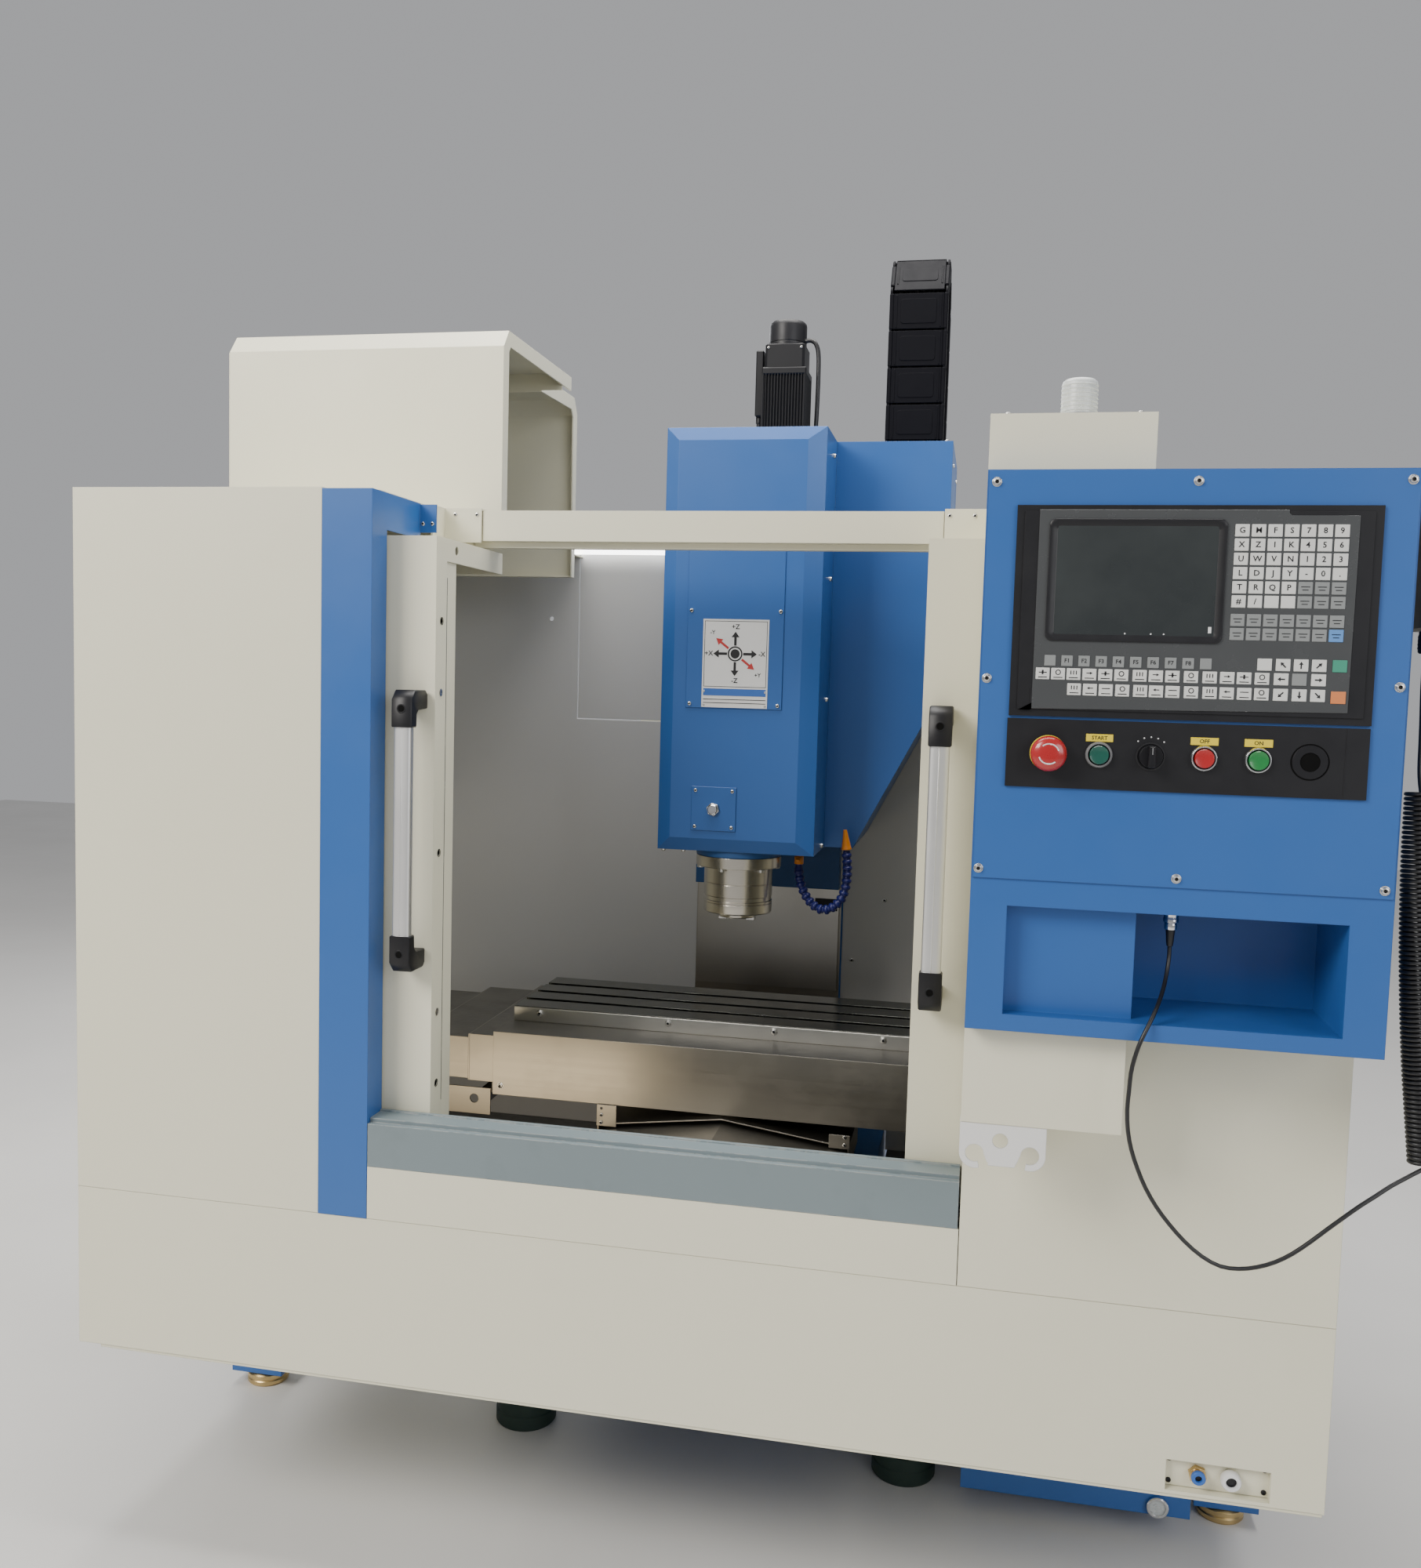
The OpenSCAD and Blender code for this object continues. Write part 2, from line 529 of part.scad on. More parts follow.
module head_covers() color(blue) frame() {
  // front cover with bevelled edges
  difference() {
    union() {
      bx(-131.5, 145, 541, 900, 1046, head_top);
      hull() { bx(-131.5, 145, 540, 541.2, 1046, head_top); bx(-108, 114, 529, 529.6, 1069, head_top - 23); }
    }
    bx(-129, 142.5, 543, 901, 1040, head_top - 2.5);
    bx(-105, 111, 531.5, 544, 1072, head_top - 26);
  }
  // side cover with its slanted lower edge
  difference() {
  translate([0, 685, 0]) rotate([90, 0, 0]) mirror([0, 0, 1]) difference() {
    linear_extrude(299.5) polygon([[145.2, head_top], [349, head_top], [349, 1340], [198, 1046.5], [145.2, 1046.5]]);
    translate([0, 0, 2.5]) linear_extrude(320) polygon([[144, head_top - 2.5], [346.5, head_top - 2.5], [346.5, 1341], [196.5, 1049], [144, 1049]]);
  }
  bx(140, 149.5, 945, 990, 1040, 1052);
  }
}
module spindle_cartridge() color(steel) frame() difference() {
  union() {
    cz(0, spindle_y, 931, 1400, cartridge_d);
    cz(0, spindle_y, 1014, 1034, flange_d);
  }
  cz(0, spindle_y, 1200, 1410, 70);
  cz(0, spindle_y, 920, 1210, 70);
  for (a = [0 : 60 : 300]) translate([0, spindle_y, 0]) rotate([0, 0, a + 15]) cz(69, 0, 1010, 1020, 9);
}
module spindle_shaft() color(steel) frame() {
  difference() {
    union() {
      cz(0, spindle_y, 922, 940, 69.9);
      cz(0, spindle_y, 940, 1395, 69.9);
      cz(0, spindle_y, 1395, 1755, 50);
      // belt pulley
      cz(0, spindle_y, 1705, 1755, 110);
      for (s = [-1, 1]) bx(s * 25 - 8, s * 25 + 8, spindle_y - 8, spindle_y + 8, 915, 923);
    }
    translate([0, spindle_y, 914]) cylinder(h = 9, d = 33);
    translate([0, spindle_y, 922]) cylinder(h = 48.4, d1 = 31.75, d2 = 17.63);
    cz(0, spindle_y, 965, 1760, 12);
  }
}
module z_cover_moving() color(stainless) frame() {
  bx(-147, 147, 976, 978, 717, 927.9);
  bx(-147, 147, 976, 984, 715, 717);
}
module spindle_motor() color(dark) frame() translate([0, 1014, 0]) {
  bx(-50, 50, -50, 50, 1795.2, 1812);
  bx(-45, 45, -45, 45, 1811, 1975);
  bx(-40, 40, -40, 40, 1974, 2022);
  cz(0, 0, 2021, 2072, 76);
  bx(-60, -44, -29, 26, 1880, 2012);
  cz(0, 0, 1700, 1796, 28);
  cz(0, 0, 1705, 1755, 90);
}
// Jointed coolant hose: valve, hose in one shape, nozzle
hose = [[106, 645, 1046], [106, 645, 1020], [107, 644, 1000], [112, 642, 980], [122, 641, 960], [136, 640, 945], [153, 640, 938],
  [171, 640, 944], [184, 640, 958], [191, 640, 976], [194, 640, 998], [194, 640, 1020], [192, 640, 1040], [191, 640, 1056]];
module coolant_hose() color([0.1, 0.1, 0.35]) frame() {
  tube(hose, 8, 10);
  bx(96, 116, 635, 655, 1000, 1018);
  translate([191, 640, 1050]) rotate([0, -6, 0]) cylinder(h = 36, d1 = 18, d2 = 7);
}
module cable_chain() color(dark) frame() translate([198, 0, 0]) {
  bx(0, 118, 1064, 1102, 1620, 2136);
  bx(0, 118, 1214, 1252, 1560, 2136);
  translate([0, 1158, 2136]) rotate([90, 0, 90]) difference() {
    intersection() { cylinder(h = 118, r = 94); translate([-100, 0, -1]) cube([200, 200, 130]); }
    translate([0, 0, -1]) cylinder(h = 130, r = 56);
  }
}

bed_casting();
column_casting();
isolation_pads();
leg_brackets();
levelling_feet();
base_tub();
front_covers();
door_pillar();
sill();
apron();
side_panels();
roof_panels();
back_walls();
top_beam();
work_lamp();
magazine_hood();
control_box();
control_face();
duct_column();
controller();
switch_plate();
hook_plate();
beacon_lamp();
coolant_tank();
linear_rails();
fixed_way_covers();
electrical_cabinet();
cabinet_door();
pendant_body();
door_left();
door_left_window();
door_left_handle();
door_right();
door_right_window();
door_right_handle();
saddle();
saddle_covers();
y_cover_middle();
table();
table_skirts();
x_cover_left_1();
x_cover_left_2();
x_cover_right_1();
x_cover_right_2();
headstock();
head_covers();
spindle_cartridge();
z_cover_moving();
spindle_motor();
coolant_hose();
spindle_shaft();
cable_chain();
estop_button();
start_button();
stop_button();
power_button();
selector_switch();
pendant_wheel();
pendant_cord();
pendant_plug();
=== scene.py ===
import bpy, bmesh, math
from mathutils import Vector, Matrix


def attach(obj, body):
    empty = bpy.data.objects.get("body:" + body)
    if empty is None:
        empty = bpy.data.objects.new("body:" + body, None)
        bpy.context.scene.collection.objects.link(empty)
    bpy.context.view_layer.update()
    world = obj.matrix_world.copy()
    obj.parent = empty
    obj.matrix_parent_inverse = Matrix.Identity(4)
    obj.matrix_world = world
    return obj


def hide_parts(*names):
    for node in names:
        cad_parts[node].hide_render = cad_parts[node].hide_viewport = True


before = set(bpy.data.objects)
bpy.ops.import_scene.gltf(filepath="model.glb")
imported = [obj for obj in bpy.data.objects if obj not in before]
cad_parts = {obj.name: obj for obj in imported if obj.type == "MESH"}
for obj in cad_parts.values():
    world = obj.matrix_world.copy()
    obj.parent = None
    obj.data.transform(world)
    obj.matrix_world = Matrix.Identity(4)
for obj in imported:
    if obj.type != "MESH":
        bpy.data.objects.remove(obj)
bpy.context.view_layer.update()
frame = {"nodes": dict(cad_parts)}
scene = bpy.context.scene

# Machine coordinates in mm (X right, Y back from the front panels, Z up) to the row frame in metres
CX, CY = 25.25, 772.0
def q(x, y, z): return Vector(((x - CX) / 1000, (y - CY) / 1000, z / 1000))

# ------------------------------------------------------------------ camera
cam_data = bpy.data.cameras.new("photo_camera")
cam_data.sensor_width = 36
cam_data.sensor_fit = "AUTO"
cam_data.lens = 30.88
cam = bpy.data.objects.new("photo_camera", cam_data)
scene.collection.objects.link(cam)
right = Vector((0.97921622, 0.20093115, 0.02760913))
up = Vector((-0.04209512, 0.06818191, 0.99678444))
fwd = Vector((-0.1984026, 0.97722971, -0.07522306))
rot = Matrix((right, up, -fwd)).transposed().to_4x4()
cam.matrix_world = Matrix.Translation(q(425.5, -1750, 1340)) @ rot
scene.camera = cam

# ------------------------------------------------------------------ materials
def new_mat(name):
    m = bpy.data.materials.new(name)
    m.use_nodes = True
    nt = m.node_tree
    return m, nt, nt.nodes["Principled BSDF"]

def N(nt, kind, **kw):
    n = nt.nodes.new(kind)
    for k, v in kw.items():
        if k in ("operation", "blend_type", "data_type", "samples", "noise_dimensions", "feature", "distance", "bands_direction", "wave_type"): setattr(n, k, v)
        else: n.inputs[k].default_value = v
    return n

def coords(nt, scale=(1, 1, 1), rotz=0.0):
    tc = nt.nodes.new("ShaderNodeTexCoord")
    mp = nt.nodes.new("ShaderNodeMapping")
    mp.inputs["Scale"].default_value = scale
    mp.inputs["Rotation"].default_value = (0, 0, rotz)
    nt.links.new(tc.outputs["Object"], mp.inputs["Vector"])
    return mp.outputs["Vector"]

def noise(nt, vec, scale, detail=3, rough=0.55):
    n = nt.nodes.new("ShaderNodeTexNoise")
    n.inputs["Scale"].default_value = scale
    n.inputs["Detail"].default_value = detail
    n.inputs["Roughness"].default_value = rough
    nt.links.new(vec, n.inputs["Vector"])
    return n.outputs["Fac"]

def remap(nt, src, a, b, lo, hi, clamp=True):
    n = nt.nodes.new("ShaderNodeMapRange")
    n.clamp = clamp
    for i, v in zip(("From Min", "From Max", "To Min", "To Max"), (a, b, lo, hi)): n.inputs[i].default_value = v
    nt.links.new(src, n.inputs["Value"])
    return n.outputs["Result"]

def mixc(nt, fac, c1, c2):
    n = nt.nodes.new("ShaderNodeMix"); n.data_type = "RGBA"
    if hasattr(fac, "node"): nt.links.new(fac, n.inputs["Factor"])
    else: n.inputs["Factor"].default_value = fac
    for i, c in ((6, c1), (7, c2)):
        if hasattr(c, "node"): nt.links.new(c, n.inputs[i])
        else: n.inputs[i].default_value = (*c, 1)
    return n.outputs[2]

def scaled(nt, rgb, src):
    a = tuple(c * 0.5 for c in rgb); b = tuple(min(1.0, c * 1.5) for c in rgb)
    return mixc(nt, remap(nt, src, 0.0, 2.0, 0, 1), a, b)

def math2(nt, op, a, b=None):
    n = nt.nodes.new("ShaderNodeMath"); n.operation = op
    for i, v in enumerate((a, b)):
        if v is None: continue
        if hasattr(v, "node"): nt.links.new(v, n.inputs[i])
        else: n.inputs[i].default_value = v
    return n.outputs[0]

def bevelled(nt, radius, samples=4):
    b = nt.nodes.new("ShaderNodeBevel"); b.samples = samples
    b.inputs["Radius"].default_value = radius
    return b.outputs["Normal"]

def bump(nt, height, strength, dist, normal=None):
    b = nt.nodes.new("ShaderNodeBump")
    b.inputs["Strength"].default_value = strength
    b.inputs["Distance"].default_value = dist
    nt.links.new(height, b.inputs["Height"])
    if normal is not None: nt.links.new(normal, b.inputs["Normal"])
    return b.outputs["Normal"]

def edge_mask(nt, radius):
    """1 along sharp edges, 0 on flats."""
    g = nt.nodes.new("ShaderNodeNewGeometry")
    d = nt.nodes.new("ShaderNodeVectorMath"); d.operation = "DOT_PRODUCT"
    nt.links.new(bevelled(nt, radius, 6), d.inputs[0])
    nt.links.new(g.outputs["Normal"], d.inputs[1])
    return remap(nt, d.outputs["Value"], 0.99, 0.90, 0, 1)

def paint(name, rgb, rough=0.42, var=0.03, peel=0.05, edge=0.0015, dirt=0.10, coat=0.0, wear=None, spec=0.5):
    """Sheet-metal paint: soft tone variation, orange peel, faint handling marks, rounded edges."""
    m, nt, b = new_mat(name)
    v = coords(nt)
    tone = noise(nt, v, 1.7, 4, 0.6)
    fine = noise(nt, v, 14, 4, 0.65)
    col = scaled(nt, rgb, remap(nt, tone, 0.3, 0.7, 1 - var, 1 + var))
    smudge = remap(nt, fine, 0.56, 0.78, 0, dirt)
    col = mixc(nt, smudge, col, tuple(c * 0.72 for c in rgb))
    if wear:
        msk = math2(nt, "MULTIPLY", edge_mask(nt, wear[0]), remap(nt, noise(nt, v, wear[1], 5, 0.7), 0.42, 0.52, 0, wear[2]))
        col = mixc(nt, msk, col, wear[3])
    nt.links.new(col, b.inputs["Base Color"])
    r = remap(nt, noise(nt, v, 6, 5, 0.7), 0.3, 0.7, rough - 0.05, rough + 0.07)
    nt.links.new(r, b.inputs["Roughness"])
    b.inputs["Specular IOR Level"].default_value = spec
    if coat:
        b.inputs["Coat Weight"].default_value = coat
        b.inputs["Coat Roughness"].default_value = 0.12
    nt.links.new(bump(nt, noise(nt, v, 520, 2, 0.5), peel, 0.0004, bevelled(nt, edge)), b.inputs["Normal"])
    return m

def metal(name, rgb, rough=0.3, scale=(6, 500, 500), strength=0.12, var=0.05, edge=0.0008, smear=0.06, rings=False, metallic=1.0, spots=None):
    """Brushed, ground or turned metal: stretched grain, smears that change the gloss."""
    m, nt, b = new_mat(name)
    g = noise(nt, coords(nt, scale), 1.0, 3, 0.6)
    v = coords(nt)
    tone = noise(nt, v, 4.0, 4, 0.6)
    k = math2(nt, "MULTIPLY", remap(nt, g, 0.3, 0.7, 1 - var, 1 + var), remap(nt, tone, 0.3, 0.7, 1 - var, 1 + var))
    col = scaled(nt, rgb, k)
    if spots:
        col = mixc(nt, remap(nt, noise(nt, v, spots[0], 5, 0.7), spots[1], spots[1] + 0.08, 0, spots[2]), col, spots[3])
    nt.links.new(col, b.inputs["Base Color"])
    b.inputs["Metallic"].default_value = metallic
    r = math2(nt, "ADD", remap(nt, g, 0.3, 0.7, rough - 0.02, rough + 0.02), remap(nt, noise(nt, v, 9, 5, 0.7), 0.45, 0.75, 0, smear))
    nt.links.new(r, b.inputs["Roughness"])
    nt.links.new(bump(nt, g, strength, 0.0003, bevelled(nt, edge)), b.inputs["Normal"])
    return m

def plastic(name, rgb, rough=0.4, grain=0.08, gscale=900, edge=0.0006, coat=0.0, var=0.05, spec=0.5):
    m, nt, b = new_mat(name)
    v = coords(nt)
    nt.links.new(scaled(nt, rgb, remap(nt, noise(nt, v, 20, 4, 0.6), 0.3, 0.7, 1 - var, 1 + var)), b.inputs["Base Color"])
    nt.links.new(remap(nt, noise(nt, v, 35, 4, 0.65), 0.3, 0.7, rough - 0.05, rough + 0.06), b.inputs["Roughness"])
    b.inputs["Specular IOR Level"].default_value = spec
    if coat:
        b.inputs["Coat Weight"].default_value = coat
        b.inputs["Coat Roughness"].default_value = 0.08
    nt.links.new(bump(nt, noise(nt, v, gscale, 2, 0.5), grain, 0.0002, bevelled(nt, edge)), b.inputs["Normal"])
    return m

WHITE = (0.78, 0.682, 0.525)
BLUE = (0.022, 0.103, 0.335)
M = {}
M["beige"] = paint("warm_white_paint", WHITE, rough=0.40, var=0.025, dirt=0.05)
# darker copy of the warm white paint for inner faces: painted shade
M["beige_in"] = paint("warm_white_paint_inside_shaded", (0.72, 0.65, 0.54), rough=0.45, dirt=0.10)
M["blue"] = paint("blue_paint", BLUE, rough=0.36, var=0.03, dirt=0.05, coat=0.10)
M["blue_old"] = paint("blue_casting_paint", (0.024, 0.105, 0.31), rough=0.48, var=0.08, peel=0.3, dirt=0.25, edge=0.004)
M["grey"] = paint("light_grey_paint", (0.64, 0.635, 0.625), rough=0.36, dirt=0.06)
M["sill"] = paint("grey_blue_worn_paint", (0.165, 0.207, 0.222), rough=0.38, var=0.07, dirt=0.30, wear=(0.0025, 38, 0.55, (0.42, 0.42, 0.39)))
M["cast"] = paint("grey_casting_paint", (0.52, 0.51, 0.47), rough=0.5, var=0.08, peel=0.3, dirt=0.25, edge=0.003)
M["stainless"] = metal("brushed_stainless", (0.50, 0.465, 0.40), rough=0.36, scale=(0.5, 260, 260), strength=0.006, var=0.008, smear=0.07)
def darken_upward_faces(m, rgb):
    """Upward faces are given a darker, mottled colour."""
    nt = m.node_tree
    b = [n for n in nt.nodes if n.type == "BSDF_PRINCIPLED"][0]
    src = b.inputs["Base Color"].links[0].from_socket
    geo = nt.nodes.new("ShaderNodeNewGeometry"); sep = nt.nodes.new("ShaderNodeSeparateXYZ")
    nt.links.new(geo.outputs["True Normal"], sep.inputs[0])
    msk = math2(nt, "MULTIPLY", math2(nt, "GREATER_THAN", sep.outputs[2], 0.8), remap(nt, noise(nt, coords(nt), 9, 5, 0.6), 0.25, 0.75, 0.72, 1.0))
    nt.links.new(mixc(nt, msk, src, rgb), b.inputs["Base Color"])
darken_upward_faces(M["stainless"], (0.17, 0.165, 0.15))
M["stainless_v"] = metal("brushed_stainless_upright", (0.58, 0.55, 0.50), rough=0.34, scale=(220, 220, 0.4), strength=0.006, var=0.008, smear=0.07)
M["steel"] = metal("ground_steel", (0.64, 0.63, 0.61), rough=0.24, scale=(2, 2, 500), strength=0.03, var=0.02)
M["turned"] = metal("turned_steel", (0.60, 0.565, 0.50), rough=0.25, scale=(0.5, 0.5, 500), strength=0.003, var=0.006, smear=0.008)
M["iron"] = metal("ground_cast_iron", (0.20, 0.205, 0.185), rough=0.17, scale=(1, 300, 300), strength=0.01, var=0.02, smear=0.12, spots=(22, 0.62, 0.5, (0.08, 0.08, 0.072)))
M["strip"] = metal("bright_strip", (0.78, 0.73, 0.64), rough=0.30, scale=(0.8, 300, 300), strength=0.01, var=0.01, smear=0.10)
M["iron_side"] = metal("machined_cast_iron", (0.42, 0.41, 0.38), rough=0.30, scale=(4, 500, 500), strength=0.15, smear=0.14)
M["alu"] = metal("satin_aluminium", (0.84, 0.84, 0.82), rough=0.42, scale=(300, 300, 1), strength=0.01, var=0.01, smear=0.04)
M["chrome"] = metal("bright_chrome", (0.80, 0.80, 0.81), rough=0.12, scale=(3, 3, 400), strength=0.02, smear=0.03)
M["brass"] = metal("turned_brass", (0.62, 0.46, 0.22), rough=0.28, scale=(2, 2, 900), strength=0.10, smear=0.12)
M["zinc"] = metal("zinc_screw", (0.66, 0.65, 0.62), rough=0.25, scale=(300, 300, 300), strength=0.05, smear=0.10)
M["black_metal"] = paint("black_motor_paint", (0.0045, 0.0045, 0.006), rough=0.46, var=0.1, peel=0.10, dirt=0.2, edge=0.0006, spec=0.3)
M["grey_cap"] = plastic("grey_cap_plastic", (0.16, 0.16, 0.165), rough=0.38)
M["black"] = plastic("black_plastic", (0.005, 0.005, 0.007), rough=0.42, grain=0.10, spec=0.35)
# near-black colour for the insides of holes, recesses and gaps: painted shade
M["hole"] = plastic("hole_painted_shade", (0.003, 0.003, 0.003), rough=0.8, grain=0.02, spec=0.1)
M["chain"] = plastic("black_nylon", (0.004, 0.004, 0.006), rough=0.50, grain=0.08, spec=0.08)
M["rubber_g"] = plastic("green_black_rubber", (0.012, 0.030, 0.022), rough=0.62, grain=0.25, gscale=400)
M["rubber"] = plastic("black_rubber", (0.012, 0.012, 0.012), rough=0.60, grain=0.2, gscale=500)
M["film"] = plastic("dark_grey_film", (0.052, 0.055, 0.057), rough=0.24, grain=0.02, coat=0.3)
M["bezel"] = plastic("black_anodised", (0.009, 0.009, 0.011), rough=0.42, grain=0.06, spec=0.35)
M["key"] = plastic("light_grey_key", (0.60, 0.60, 0.58), rough=0.34, grain=0.02)
M["key_d"] = plastic("mid_grey_key", (0.22, 0.23, 0.23), rough=0.34, grain=0.02)
M["key_b"] = plastic("pale_blue_key", (0.10, 0.25, 0.55), rough=0.34, grain=0.02)
M["key_g"] = plastic("green_key", (0.04, 0.26, 0.17), rough=0.34, grain=0.02)
M["key_o"] = plastic("orange_key", (0.60, 0.20, 0.07), rough=0.34, grain=0.02)
M["ink"] = plastic("black_ink", (0.008, 0.008, 0.010), rough=0.5, grain=0.02)
M["ink_red"] = plastic("red_ink", (0.45, 0.03, 0.03), rough=0.5, grain=0.02)
M["ink_blue"] = plastic("blue_ink", (0.03, 0.12, 0.42), rough=0.5, grain=0.02)
M["yellow"] = plastic("yellow_tag", (0.85, 0.55, 0.03), rough=0.42, grain=0.02)
M["red"] = plastic("red_plastic", (0.36, 0.010, 0.011), rough=0.28, grain=0.02, coat=0.4)
M["green"] = plastic("green_plastic", (0.01, 0.18, 0.04), rough=0.25, grain=0.02, coat=0.4)
M["teal"] = plastic("dark_green_plastic", (0.004, 0.075, 0.052), rough=0.25, grain=0.02, coat=0.4)
M["whitep"] = plastic("white_plastic", (0.78, 0.78, 0.76), rough=0.36, grain=0.04)
M["orange"] = plastic("orange_plastic", (0.70, 0.22, 0.02), rough=0.36, grain=0.06)
M["navy"] = plastic("dark_blue_plastic", (0.010, 0.014, 0.13), rough=0.34, grain=0.04)
M["label"] = plastic("label_film", (0.74, 0.75, 0.75), rough=0.32, grain=0.03, coat=0.2)
M["white_paint"] = paint("white_powder_coat", (0.78, 0.76, 0.70), rough=0.5, peel=0.2, dirt=0.03)
M["cordm"] = plastic("black_cord_jacket", (0.011, 0.011, 0.012), rough=0.38, grain=0.10, gscale=700)
M["belt"] = plastic("belt_rubber", (0.02, 0.02, 0.02), rough=0.7, grain=0.3)

def screen_mat():
    m, nt, b = new_mat("screen_glass")
    v = coords(nt)
    sm = noise(nt, v, 7, 4, 0.6)
    nt.links.new(mixc(nt, remap(nt, sm, 0.35, 0.7, 0, 1), (0.016, 0.020, 0.021), (0.030, 0.036, 0.036)), b.inputs["Base Color"])
    nt.links.new(remap(nt, noise(nt, v, 25, 4, 0.6), 0.3, 0.7, 0.09, 0.20), b.inputs["Roughness"])
    b.inputs["Coat Weight"].default_value = 0.5
    return m
def window_mat():
    m, nt, b = new_mat("window_polycarbonate")
    v = coords(nt)
    nt.links.new(mixc(nt, remap(nt, noise(nt, v, 3, 3), 0.3, 0.7, 0, 1), (0.80, 0.86, 0.87), (0.86, 0.90, 0.90)), b.inputs["Base Color"])
    nt.links.new(remap(nt, noise(nt, v, 12, 4), 0.3, 0.7, 0.03, 0.09), b.inputs["Roughness"])
    b.inputs["Transmission Weight"].default_value = 0.92
    b.inputs["IOR"].default_value = 1.45
    return m
def lamp_mat():
    m, nt, b = new_mat("lit_tube")
    v = coords(nt)
    c = mixc(nt, remap(nt, noise(nt, v, 30, 2), 0.3, 0.7, 0, 1), (0.95, 0.97, 1.0), (1.0, 0.98, 0.94))
    nt.links.new(c, b.inputs["Base Color"]); nt.links.new(c, b.inputs["Emission Color"])
    b.inputs["Emission Strength"].default_value = 7.0
    b.inputs["Roughness"].default_value = 0.4
    return m
def frosted_mat():
    m, nt, b = new_mat("frosted_lens")
    v = coords(nt, (60, 60, 900))
    nt.links.new(mixc(nt, remap(nt, noise(nt, v, 1, 3), 0.3, 0.7, 0, 1), (0.62, 0.66, 0.66), (0.74, 0.77, 0.76)), b.inputs["Base Color"])
    nt.links.new(remap(nt, noise(nt, coords(nt), 40, 3), 0.3, 0.7, 0.22, 0.34), b.inputs["Roughness"])
    b.inputs["Transmission Weight"].default_value = 0.25
    return m
M["screen"] = screen_mat(); M["window"] = window_mat(); M["lit"] = lamp_mat(); M["frosted"] = frosted_mat()

def tub_shaded_inside_mat():
    """Same paint outside; the inside of the tub is painted dark as painted shade in the recess."""
    m = paint("tub_paint_shaded_inside", WHITE, rough=0.40, var=0.025, dirt=0.05)
    nt = m.node_tree
    b = [n for n in nt.nodes if n.type == "BSDF_PRINCIPLED"][0]
    src = b.inputs["Base Color"].links[0].from_socket
    geo = nt.nodes.new("ShaderNodeNewGeometry"); sep = nt.nodes.new("ShaderNodeSeparateXYZ")
    nt.links.new(geo.outputs["Position"], sep.inputs[0])
    ax = math2(nt, "ABSOLUTE", math2(nt, "ADD", sep.outputs[0], 0.02525))
    mx = math2(nt, "LESS_THAN", ax, 0.8835)
    my = math2(nt, "MULTIPLY", math2(nt, "GREATER_THAN", sep.outputs[1], -0.7695), math2(nt, "LESS_THAN", sep.outputs[1], 0.2295))
    msk = math2(nt, "MULTIPLY", math2(nt, "MULTIPLY", mx, my), math2(nt, "GREATER_THAN", sep.outputs[2], 0.3822))
    # painted shade: a near-black mottled colour fills the inside of the tub
    dark = mixc(nt, remap(nt, noise(nt, coords(nt), 60, 4, 0.6), 0.3, 0.7, 0, 1), (0.022, 0.022, 0.021), (0.045, 0.044, 0.041))
    nt.links.new(mixc(nt, msk, src, dark), b.inputs["Base Color"])
    return m
M["tub"] = tub_shaded_inside_mat()

CAD_MAT = {
    "bed_casting": "blue_old", "column_casting": "blue_old", "isolation_pads": "rubber_g", "leg_brackets": "blue", "levelling_feet": "brass",
    "base_tub": "tub", "front_covers": "beige", "door_pillar": "blue", "sill": "sill", "apron": "beige",
    "side_panels": "beige", "roof_panels": "beige", "back_walls": "grey", "top_beam": "beige", "work_lamp": "lit",
    "magazine_hood": "beige", "control_box": "blue", "control_face": "blue", "duct_column": "beige", "controller": "bezel",
    "switch_plate": "bezel", "hook_plate": "white_paint", "beacon_lamp": "frosted", "coolant_tank": "blue",
    "linear_rails": "steel", "fixed_way_covers": "stainless", "electrical_cabinet": "beige", "cabinet_door": "beige",
    "pendant_body": "black", "door_left": "beige", "door_left_window": "window", "door_left_handle": "alu",
    "door_right": "beige", "door_right_window": "window", "door_right_handle": "alu", "saddle": "cast",
    "saddle_covers": "stainless", "y_cover_middle": "stainless", "table": "iron", "table_skirts": "stainless",
    "x_cover_left_1": "stainless", "x_cover_left_2": "stainless", "x_cover_right_1": "stainless", "x_cover_right_2": "stainless",
    "headstock": "blue_old", "head_covers": "blue", "spindle_cartridge": "turned", "z_cover_moving": "stainless_v",
    "spindle_motor": "black_metal", "coolant_hose": "navy", "spindle_shaft": "turned", "cable_chain": "chain",
    "estop_button": "red", "start_button": "teal", "stop_button": "red", "power_button": "green", "selector_switch": "black",
    "pendant_wheel": "black", "pendant_cord": "cordm", "pendant_plug": "chrome",
}
for node, key in CAD_MAT.items():
    o = frame["nodes"][node] if isinstance(frame["nodes"], dict) else bpy.data.objects[node]
    if not isinstance(o, bpy.types.Object): o = bpy.data.objects[node]
    if len(o.material_slots):
        for s in o.material_slots: s.material = M[key]
    else: o.data.materials.append(M[key])

